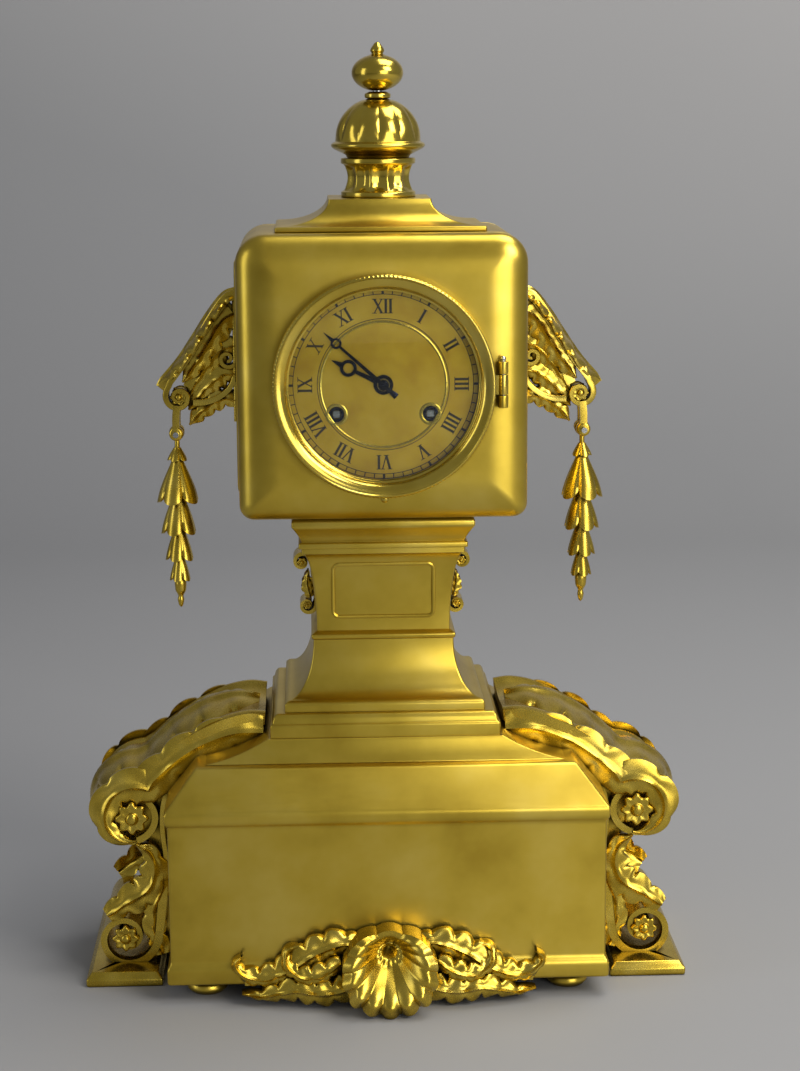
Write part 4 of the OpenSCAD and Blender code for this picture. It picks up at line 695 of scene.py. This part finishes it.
for points, width, lobes in fillLeaves:
    line = path(points, 50, 60)
    s = np.linspace(0, 1, len(line))
    fill += [leafFlat(line, face * (4.6 - 1.6 * s), face, width=([0, 0.4, 0.8, 1], width), lobes=lobes,
                      relief=1.0, roll=1.4, thick=2.4) for face in (-1, 1)]
backPlate = mitredGrid([(1.2, 5.2, 236), (1.2, 5.2, 289.6)], 0.8) + (60.4, 0, 0)
handleShell = [handleBand, counterBand, topLeaf, handlePlate, backPlate]
handleShell += faceLeaves + fill + fork + curlRoses
for side, turned in sides.items():
    piece("handle" + side.capitalize(), [turned(g) for g in handleShell], "giltOrnament", "handle_" + side,
          sharp=50)


# Bell-shaped husk hanging from z: the radius grows from neck to lip as a root of the depth, petals are waves
# round it, and the lip dips at each petal; the inside runs back up to the axis
def husk(x, z, length, neckR, lipR, petals=5):
    v = np.linspace(0, 1, 14)[:, None]
    angle = np.linspace(0, 2 * pi, petals * 12 + 1)[None, :]
    petal = np.abs(np.cos(petals * angle / 2)) ** 0.6
    r = (neckR + (lipR - neckR) * np.sin(v * pi / 2) ** 1.2) * (1 - 0.22 * v * (1 - petal))
    r = r * (1 + 0.10 * v ** 4)
    down = length * (v - 0.20 * v ** 4 * (1 - petal))
    outside = np.stack((r * np.cos(angle), r * np.sin(angle), -down * np.ones_like(r)), -1)
    inside = outside[::-1] * (0.84, 0.84, 1) + (0, 0, 0.05)
    closeTop = outside[:1] * (0, 0, 1)
    hollow = inside[:10]
    return np.concatenate((closeTop, outside, hollow, hollow[-1:] * (0, 0, 1))) + (x, 0, z)


drop = dict(husks=((-6.5, 5.5, 1.6, 4.0), (-11, 19, 2.2, 8.3), (-26.5, 17, 2.4, 7.0), (-40.5, 14.5, 2.0, 5.6),
                   (-52.5, 11.5, 1.6, 4.2)), eyeR=2.3, wire=0.95)
turn = np.linspace(0, 2 * pi, 33)
ring = np.column_stack((pinX + drop["eyeR"] * np.cos(turn), np.zeros(33), pinZ + drop["eyeR"] * np.sin(turn)))
outward = np.column_stack((np.cos(turn), np.zeros(33), np.sin(turn)))
eyeRing = beadGrid(ring, outward, np.repeat([[0.0, 1.0, 0.0]], 33, 0), drop["wire"], drop["wire"] * 1.7, 12)
stemLine = soften([(0, pinZ - 2.4), (1.1, pinZ - 2.6), (1.1, pinZ - 8), (0, pinZ - 9)], 0.3)
tipProfile = soften([(0, pinZ - 58), (1.4, pinZ - 60), (2.6, pinZ - 65), (2.3, pinZ - 68.5),
                     (1.0, pinZ - 70.6), (1.5, pinZ - 72.3), (0.9, pinZ - 75), (0, pinZ - 75.8)], 0.8)
dropShell = [eyeRing, turnedGrid(stemLine, 20, about=(pinX, 0)), turnedGrid(tipProfile, 30, about=(pinX, 0))]
dropShell += [husk(pinX, pinZ + z, length, neckR, lipR) for z, length, neckR, lipR in drop["husks"]]
for side, turned in sides.items():
    piece(side + "Drop", [turned(g) for g in dropShell], "giltOrnament", "drop_" + side, body=side + "_drop",
          sharp=55)

# Front mount: a ribbed shell that hangs below the middle of the block, between two pairs of acanthus scrolls
print("front mount")
mount = dict(ribs=9, shellR=24, crownR=9, shellZ=25.3, bulge=19)
_, (_, mountBack, _) = boxOf("apron_mount")
angle = np.linspace(-pi / 2, 3 * pi / 2, 241)[None, :]
v = np.linspace(0, 1, 34)[:, None]
hang = np.clip(0.5 - 0.62 * np.sin(angle), 0, 1) ** 0.8
reach = mount["crownR"] + (mount["shellR"] - mount["crownR"]) * hang
rib = np.abs(np.cos(mount["ribs"] * (angle + pi / 2)))
rim = reach * (1 + 0.05 * rib * hang)
r = v * rim
dome = mount["bulge"] * np.sin(np.minimum(v * 1.18, 1.0) * pi / 2) ** 1.5 * (0.35 + 0.65 * hang)
proud = 3.5 + dome - 3.2 * np.clip(v - 0.8, 0, 1) / 0.2 * hang
proud = proud + 2.6 * v ** 1.3 * (rib - 0.5) * hang * (v > 0.05) + 2.2 * np.exp(-((v - 0.16) / 0.07) ** 2)
shellFront = np.stack((r * np.cos(angle), mountBack - proud, mount["shellZ"] + r * np.sin(angle)), -1)
wall = shellFront[-1:] * (1, 0, 1) + (0, mountBack, 0)
shellBack = np.array([[[0.0, mountBack, mount["shellZ"]]]]) + 0 * wall
shellFront = np.concatenate((shellFront, wall, shellBack))
mountLeaves = []
for points, width, out, lobes in (([(11, 26), (20, 27), (31, 23), (41, 16.5), (51, 12.5), (59, 13.5),
                                    (63.5, 18), (61, 22)], [3, 6.6, 7.2, 6.2, 4.0, 0.6], 5.0, 8),
                                  ([(10, 13), (19, 8.6), (29, 7.4), (38, 8.4), (46, 6.6), (54, 4.6),
                                    (61, 5.6)], [4, 6.2, 6.4, 5.4, 3.6, 0.6], 9.0, 7),
                                  ([(20, 20), (27, 16), (35, 14.6), (41.6, 18.2), (42, 23.6), (37.6, 26)],
                                   [3, 4.6, 4.8, 3.8, 2.6, 0.6], 9.5, 5)):
    line = path(points, 90, 100)
    s = np.linspace(0, 1, len(line))
    lift = mountBack - out * np.sin(pi * np.minimum(1, 0.25 + 0.8 * s)) - 3.5 * s ** 3 - 1.0
    leaf = leafFlat(line, lift, -1, width=(np.linspace(0, 1, len(width)), width), lobes=lobes, relief=1.7,
                    roll=2.4, thick=2.6, notch=0.4, across=21)
    mountLeaves += [leaf, mirrored(leaf)]
backing = [bandGrid(path([(side * 8, 19), (side * 26, 18), (side * 44, 13), (side * 60, 11)], 30, 40), 1.4,
                    np.linspace(12, 4.5, 40), bandSection, mountBack - 1.5) for side in (-1, 1)]
piece("frontMount", [shellFront] + mountLeaves + backing, "giltOrnament", "apron_mount", sharp=50)

# Case: the front and the back are shallow pillows round their openings, and a plain wrap joins them
print("case")
case = dict(face=47, split=35, wall=3, topR=12, bottomR=6, opening=40.5, pillow=17, deep=9.5, power=2.2)
(_, _, caseFoot), (caseW, _, caseTop) = boxOf("case_wrap")
dialZ = float(sum(corner[2] for corner in boxOf("dial")) / 2)


# Front outline of the case drawn in by inset: straight sides and quarter-circle corners, rounder at the top
def caseOutline(inset, count=289):
    quarter, parts = np.linspace(0, pi / 2, 15), []
    for k, (sx, radius) in enumerate(((1, case["topR"]), (-1, case["topR"]), (-1, case["bottomR"]),
                                      (1, case["bottomR"]))):
        r = max(radius - inset, 0.6)
        middleZ = caseTop - inset - r if k < 2 else caseFoot + inset + r
        parts.append(np.column_stack((sx * (caseW - inset - r) + r * np.cos(quarter + k * pi / 2),
                                      middleZ + r * np.sin(quarter + k * pi / 2))))
    return evenly(np.concatenate(parts + [parts[0][:1]]), count)


# Distance in from that outline: past the corner's middle it is measured from the quarter circle
def edgeDistance(x, z):
    upper = z > dialZ
    r = np.where(upper, case["topR"], case["bottomR"])
    qx = np.abs(x) - (caseW - r)
    qz = np.where(upper, z - (caseTop - r), (caseFoot + r) - z)
    return r - np.hypot(np.maximum(qx, 0), np.maximum(qz, 0)) - np.minimum(np.maximum(qx, qz), 0)


outline = caseOutline(0)
around = np.arctan2(outline[:, 1] - dialZ, outline[:, 0])
hub = np.column_stack((np.cos(around), np.sin(around)))


# One row of a grid: a circle of radius r about the dial's middle, with its points on the rays to the outline
def circleRow(r, y):
    return standing(r * hub + (0, dialZ), y)


# One row of a grid: the case's outline drawn in by inset, at depth y
def outlineRow(inset, y):
    return standing(caseOutline(inset), y)


opening, face = case["opening"], case["face"]
rows = [circleRow(opening + 1.2, 3 - face), circleRow(opening, 3 - face), circleRow(opening, 0.5 - face),
        circleRow(opening + 0.4, -face)]
for w in 1 - (1 - np.linspace(0.03, 1, 30)) ** 1.7:
    row = circleRow(opening + 0.4, -face) * (1 - w) + outlineRow(0, -face) * w
    rim = np.clip(1 - edgeDistance(row[:, 0], row[:, 2]) / case["pillow"], 0, 1)
    row[:, 1] += case["deep"] * (1 - (1 - rim ** case["power"]) ** (1 / case["power"]))
    rows.append(row)
split = case["split"] + 0.08
rows += [outlineRow(0, -split - 0.4), outlineRow(0.35, -split), outlineRow(case["wall"], -split),
         outlineRow(case["wall"], -split - 5), circleRow(opening + 6, 3 - face),
         circleRow(opening + 1.2, 3 - face)]
caseShell = np.stack(rows)
knuckles = []
hinge = dict(x=48, y=-49.6, r=2.1, high=5, tabHalf=4, gap=0.3)
for side in (-1, 1):
    middle = dialZ + side * (hinge["tabHalf"] + hinge["gap"] + hinge["high"] / 2)
    low, high = middle - hinge["high"] / 2, middle + hinge["high"] / 2
    barrel = soften(ringSection(1.05, hinge["r"], low, high), 0.35)
    knuckles.append(turnedGrid(barrel, 28, about=(hinge["x"], hinge["y"])))
    knuckles.append(mitredGrid([(1.5, 0.9, low), (1.5, 0.9, high)], 0.3) + (hinge["x"], hinge["y"] + 2.2, 0))
piece("caseFront", [caseShell] + knuckles, "giltBrass", "case_front")
piece("caseBack", [g * (1, -1, 1) for g in [caseShell] + knuckles], "giltBrass", "case_back")

# The wrap is a tube on the same outline; a reeded frame is soldered on each side of it
back = case["split"]
wrapRows = ((0.35, -back), (0, 0.4 - back), (0, back - 0.4), (0.35, back), (case["wall"], back),
            (case["wall"], -back), (0.35, -back))
wrap = np.stack([outlineRow(inset, y) for inset, y in wrapRows])
sideFrame = dict(half=28, margin=11, corner=5, reeds=((0.9, 0.9, 0), (0.45, 0.5, -1.9)))
frames = []
for half, rise, grow in sideFrame["reeds"]:
    line = roundedOutline(sideFrame["half"] + grow, (caseTop - caseFoot) / 2 - sideFrame["margin"] + grow,
                          sideFrame["corner"] + grow, 10)
    space = np.column_stack((np.full(len(line), caseW - 0.05), line[:, 0],
                             line[:, 1] + (caseTop + caseFoot) / 2 - 1))
    along = directions(line)
    across = np.column_stack((np.zeros(len(line)), -along[:, 1], along[:, 0]))
    frames.append(beadGrid(space, across, np.repeat([[1.0, 0.0, 0.0]], len(line), 0), half, rise))
piece("caseWrap", [wrap] + frames + [mirrored(g) for g in frames], "giltBrass", "case_wrap")

# Glazed rings of the front and the back: proud milled rim, a hollow down to the glass, a hinge tab and a knob
print("bezels")
ringed = dict(outer=45, lip=38.1, mills=160)
outer = ringed["outer"]
sweep = np.linspace(0, 1, 12)
hollowCurve = np.column_stack((43.3 - 4.3 * np.sin(sweep * pi / 2) ** 1.1,
                               8.6 - 3.5 * (1 - np.cos(sweep * pi / 2))))
ringProfile = np.concatenate((soften([(39.5, 0.02), (outer - 0.2, 0.02), (outer - 0.2, 4.8),
                                      (outer - 1.0, 5.3), (outer - 0.1, 6.0), (outer - 0.1, 8.0),
                                      (outer - 0.7, 8.9), (outer - 1.4, 8.9)], 0.4), hollowCurve,
                              soften([(38.9, 5.0), (ringed["lip"], 4.7), (ringed["lip"], 3.85), (39.5, 3.85),
                                      (39.5, 0.02)], 0.25)))
milled = 0.006 * ((ringProfile[:, 0] > outer - 0.8) & (ringProfile[:, 1] > 5.8))
ring = turnedGrid(ringProfile, ringed["mills"] * 4, -milled, lambda a: np.cos(ringed["mills"] * a / 2) ** 2)
ring = facing(ring, 0, -face - 0.2, dialZ)
tabProfile = soften(ringSection(1.05, 2.1, dialZ - 4, dialZ + 4), 0.35)
tab = [turnedGrid(tabProfile, 28, about=(hinge["x"], hinge["y"])),
       mitredGrid([(2.0, 0.9, dialZ - 3.9), (2.0, 0.9, dialZ + 3.9)], 0.3) + (45.6, hinge["y"], 0)]
knob = facing(turnedGrid(soften([(0, -1.0), (0.8, -1.0), (0.8, 0.6), (1.7, 1.4), (1.7, 2.4), (0.9, 3.3),
                                 (0, 3.4)], 0.4), 28), 0, -49.0, dialZ - outer - 0.6)
for name, door, node, turnBack in (("bezelRing", "bezel_door", "bezel", (1, 1, 1)),
                                   ("rearRing", "rear_door", "back_door", (1, -1, 1))):
    piece(name, [g * turnBack for g in [ring] + tab + [knob]], "polishedBrass", node, body=door)


# Flat prism between two depths: its outline is a convex polygon in X and Z, closed to its middle at both ends
def slabGrid(corners, y0, y1):
    loop = np.array(list(corners) + [corners[0]], float)
    middle = np.repeat(loop[:-1].mean(0)[None], len(loop), 0)
    return np.stack([standing(middle, y0), standing(loop, y0), standing(loop, y1), standing(middle, y1)])


# Roman numerals from bars, with thin serifs, standing radially; minute track of 60 strokes between two lines
print("dial")
dialWork = dict(surface=-45.0, wax=0.1, ringR=31.6, high=5.6, thick=1.0, thin=0.5, serif=0.95, serifHalf=0.14,
                trackIn=36.4, trackOut=38.3, trackStroke=(0.5, 0.2), innerLine=26.6, windingHole=(19, -12))
square = ((-1, -1), (1, -1), (1, 1), (-1, 1))
glyphs = {"I": (1.9, [(0, 0, 1)]), "V": (4.1, [(-1.5, 0, 1), (1.5, 0, 0)]),
          "X": (4.3, [(-1.5, 1.5, 1), (1.5, -1.5, 0)])}
top = dialWork["high"] / 2
yFront, yBack = dialWork["surface"] - dialWork["wax"], dialWork["surface"] + 0.1
wax = []


# Corners given as (sideways, outward) from a middle at radius r and clock angle a
def onDial(points, r, a):
    a = math.radians(a)
    return [(u * math.cos(a) + (r + v) * math.sin(a), dialZ - u * math.sin(a) + (r + v) * math.cos(a))
            for u, v in points]


for hour, text in enumerate(("I", "II", "III", "IIII", "V", "VI", "VII", "VIII", "IX", "X", "XI", "XII"), 1):
    at = -sum(glyphs[letter][0] for letter in text) / 2
    for letter in text:
        width, bars = glyphs[letter]
        middle = at + width / 2
        at += width
        for u0, u1, heavy in bars:
            half = (dialWork["thick"] if heavy else dialWork["thin"]) / 2
            wax.append(slabGrid(onDial([(middle + u1 - half, -top), (middle + u1 + half, -top),
                                        (middle + u0 + half, top), (middle + u0 - half, top)],
                                       dialWork["ringR"], 30 * hour), yBack, yFront))
            ends = [(u0, top)] + ([(u1, -top)] if letter != "V" or heavy else [])
            for u, v in ends:
                wax.append(slabGrid(onDial([(middle + u + su * dialWork["serif"],
                                             v + sv * dialWork["serifHalf"]) for su, sv in square],
                                           dialWork["ringR"], 30 * hour), yBack, yFront))
for minute in range(60):
    half = dialWork["trackStroke"][minute % 5 > 0]
    wax.append(slabGrid(onDial([(-half, 0), (half, 0), (half, dialWork["trackOut"] - dialWork["trackIn"]),
                                (-half, dialWork["trackOut"] - dialWork["trackIn"])], dialWork["trackIn"],
                               6 * minute), yBack, yFront))
for r in (dialWork["trackIn"], dialWork["trackOut"], dialWork["innerLine"]):
    wax.append(facing(turnedGrid(ringSection(r - 0.14, r + 0.14, -0.1, dialWork["wax"]), 180),
                      0, dialWork["surface"], dialZ))
piece("dialNumerals", wax, "blackWax")

# Turned rings on the dial: a raised ring inside the numerals and a collar round each winding hole
rings = [facing(turnedGrid(soften([(24.9, -0.1), (24.9, 0.12), (25.4, 0.2), (25.9, 0.12), (25.9, -0.1),
                                   (24.9, -0.1)], 0.1), 180), 0, dialWork["surface"], dialZ)]
holeX, holeZ = dialWork["windingHole"]
for side in (-1, 1):
    collarRing = soften([(3.2, -0.3), (3.2, 0.1), (3.5, 0.2), (4.2, 0.18), (4.6, 0.05), (4.6, -0.1),
                         (3.2, -0.3)], 0.1)
    rings.append(facing(turnedGrid(collarRing, 48), side * holeX, dialWork["surface"], dialZ + holeZ))
piece("dialRings", rings, "polishedBrass")
cups = [facing(turnedGrid(ringSection(1.95, 3.15, -1.0, -0.6), 40), side * holeX, dialWork["surface"],
               dialZ + holeZ) for side in (-1, 1)]
piece("windingCups", cups, "bluedSteel")

# Hands with an open ring near the tip: flat bars that taper, rings and hubs turned about Y
print("hands")
barSection = [(-1, -0.8), (-1, 0.8), (-0.6, 1), (0.6, 1), (1, 0.8), (1, -0.8), (0.6, -1), (-0.6, -1),
              (-1, -0.8)]


# Grids of one hand between depths y0 and y1: each bar runs outwards from radius r0 to r1 while its half width
# goes evenly from w0 to w1, and ringAt is the place, outer and inner radius of the open ring
def handGrids(clockAngle, y0, y1, hub, bars, ringAt, cap=0.0):
    direction = np.array([math.sin(math.radians(clockAngle)), math.cos(math.radians(clockAngle))])
    middle, half = (y0 + y1) / 2, (y1 - y0) / 2
    grids = []
    for r0, r1, w0, w1 in bars:
        r = np.linspace(r0, r1, 14)
        grids.append(bandGrid(r[:, None] * direction + (0, dialZ), half, np.linspace(w0, w1, 14), barSection,
                              middle))
    for r, outer, inner in ((0, hub[0], hub[1]), ringAt):
        profile = soften(ringSection(inner, outer, -half, half), 0.2)
        grids.append(facing(turnedGrid(profile, 48), r * direction[0], middle, dialZ + r * direction[1]))
    if cap:
        grids.append(facing(turnedGrid(soften([(0, -0.2), (1.8, -0.2), (1.8, half + 0.1), (1.1, half + cap),
                                               (0, half + cap)], 0.3), 32), 0, middle, dialZ))
    return grids


piece("hourHand", handGrids(296, -46.1, -45.32, (4.0, 2.56),
                            [(3.6, 13.0, 1.05, 0.7), (18.4, 23.0, 1.2, 0.12)], (15.6, 3.4, 2.1)),
      "bluedSteel", "hour_hand", body="hour_pipe")
piece("minuteHand", handGrids(312, -47.7, -46.92, (2.2, 1.06),
                              [(1.8, 23.4, 0.8, 0.5), (27.2, 32.0, 0.8, 0.1), (-1.8, -7.0, 0.7, 1.3)],
                              (25.4, 2.2, 1.3), 0.5), "bluedSteel", "minute_hand", body="minute_arbor")

# CAD nodes that still show take their finish here
print("finishes of the CAD nodes")
slotOf = {part["node"]: part["material_slot"] for part in frame["record"]["subparts"]}
for name, shown in nodes.items():
    finish = materials[finishOf[slotOf[name]]]
    for k in range(len(shown.data.materials)):
        shown.data.materials[k] = finish
    if not shown.data.materials:
        shown.data.materials.append(finish)

# Floor that sweeps up into the backdrop: flat, then a quarter circle, then upright
print("floor, lights and camera")
studio = dict(depth=900, bend=700, high=2600, half=2600)
turn = np.linspace(0, pi / 2, 24)
sweep = np.concatenate(([(-studio["half"], 0)],
                        np.column_stack((studio["depth"] + studio["bend"] * np.sin(turn),
                                         studio["bend"] * (1 - np.cos(turn)))),
                        [(studio["depth"] + studio["bend"], studio["high"])]))
across = np.linspace(-studio["half"], studio["half"], 3)
backdropMaterial, tree, shader = newMaterial("paperPaleGrey")
place = addNode(tree, "ShaderNodeTexCoord").outputs["Object"]
# 900 mm soft unevenness of the paper
cloud = addNode(tree, "ShaderNodeTexNoise", Vector=place, Scale=1 / (900 * mm), Detail=1.0)
split = addNode(tree, "ShaderNodeSeparateXYZ", Vector=place)
# Painted light: the roll is paler towards its upper right, as if lit from there; X and Z in metres, weighed
# together
paintedLightSlope = addNode(tree, "ShaderNodeMath", {"operation": "MULTIPLY_ADD"}, i0=split.outputs["X"], i1=0.45,
                i2=split.outputs["Z"])
even = addNode(tree, "ShaderNodeMapRange", Value=paintedLightSlope.outputs[0], From_Min=-0.6, From_Max=1.3)
uneven = addNode(tree, "ShaderNodeMath", {"operation": "MULTIPLY_ADD"}, i0=cloud.outputs["Fac"], i1=0.25,
                 i2=even.outputs[0])
tone = addRamp(tree, uneven.outputs[0], ((0.2, "#848589"), (0.55, "#939497"), (1.0, "#C4C3C4")))
tree.links.new(tone, shader.inputs["Base Color"])
shader.inputs["Roughness"].default_value = 0.7
grid = np.stack((np.repeat(across[None], len(sweep), 0), np.repeat(sweep[:, :1], 3, 1),
                 np.repeat(sweep[:, 1:], 3, 1)), -1)
index = np.arange(grid.shape[0] * 3).reshape(-1, 3)
quads = np.stack((index[:-1, :-1], index[:-1, 1:], index[1:, 1:], index[1:, :-1]), -1).reshape(-1, 4)
mesh = bpy.data.meshes.new("backdrop")
mesh.from_pydata((grid.reshape(-1, 3) * mm).tolist(), [], quads.tolist())
mesh.polygons.foreach_set("use_smooth", np.ones(len(mesh.polygons), bool))
mesh.materials.append(backdropMaterial)
backdrop = bpy.data.objects.new("backdrop", mesh)
bpy.context.scene.collection.objects.link(backdrop)


# Soft box: an area lamp at place, aimed at target, both in metres
def softBox(name, place, target, width, height, watts, colour):
    lamp = bpy.data.lights.new(name, "AREA")
    lamp.shape, lamp.size, lamp.size_y = "RECTANGLE", width, height
    lamp.energy, lamp.color = watts, linear(colour)[:3]
    shown = bpy.data.objects.new(name, lamp)
    shown.location = place
    aim = np.array(target) - np.array(place)
    flat = math.hypot(aim[0], aim[1])
    shown.rotation_euler = (math.atan2(flat, -aim[2]), 0, math.atan2(-aim[0], aim[1]))
    bpy.context.scene.collection.objects.link(shown)


softBox("keyRight", (1.0, -0.9, 1.15), (0, 0, 0.2), 0.7, 0.8, 18, "#FFF8EC")
softBox("frontPanel", (1.0, -1.9, 0.4), (0, 0, 0.2), 1.2, 1.2, 17, "#FFFDF6")
softBox("fillLeft", (-1.3, -0.5, 0.5), (0, 0, 0.2), 0.4, 1.2, 3, "#F2F5FF")
softBox("topRight", (0.5, 0.1, 1.6), (0, 0, 0.25), 0.9, 0.8, 15, "#FFFDF8")

world = bpy.data.worlds.new("studio")
bpy.context.scene.world = world
world.use_nodes = True
world.node_tree.nodes["Background"].inputs["Color"].default_value = linear("#B4B6BA")
world.node_tree.nodes["Background"].inputs["Strength"].default_value = 0.5

# Camera fitted to the photograph: eye point in millimetres, angles in degrees, lens for a 36 mm long side
view = dict(eye=(-30, -950, 370), pitch=-11.0, yaw=-2.3, roll=-0.35, lens=76.0)
camera = bpy.data.cameras.new("photoCamera")
camera.lens, camera.sensor_width, camera.sensor_fit = view["lens"], 36, "AUTO"
cameraObject = bpy.data.objects.new("photoCamera", camera)
cameraObject.location = np.array(view["eye"]) * mm
cameraObject.rotation_mode = "XYZ"
aim = mathutils.Euler((math.radians(90 + view["pitch"]), 0, math.radians(view["yaw"]))).to_matrix()
roll = mathutils.Matrix.Rotation(math.radians(view["roll"]), 3, "Z")
cameraObject.rotation_euler = (aim @ roll).to_euler()
bpy.context.scene.collection.objects.link(cameraObject)
bpy.context.scene.camera = cameraObject
bpy.context.scene.view_settings.view_transform = "Standard"

print("done")
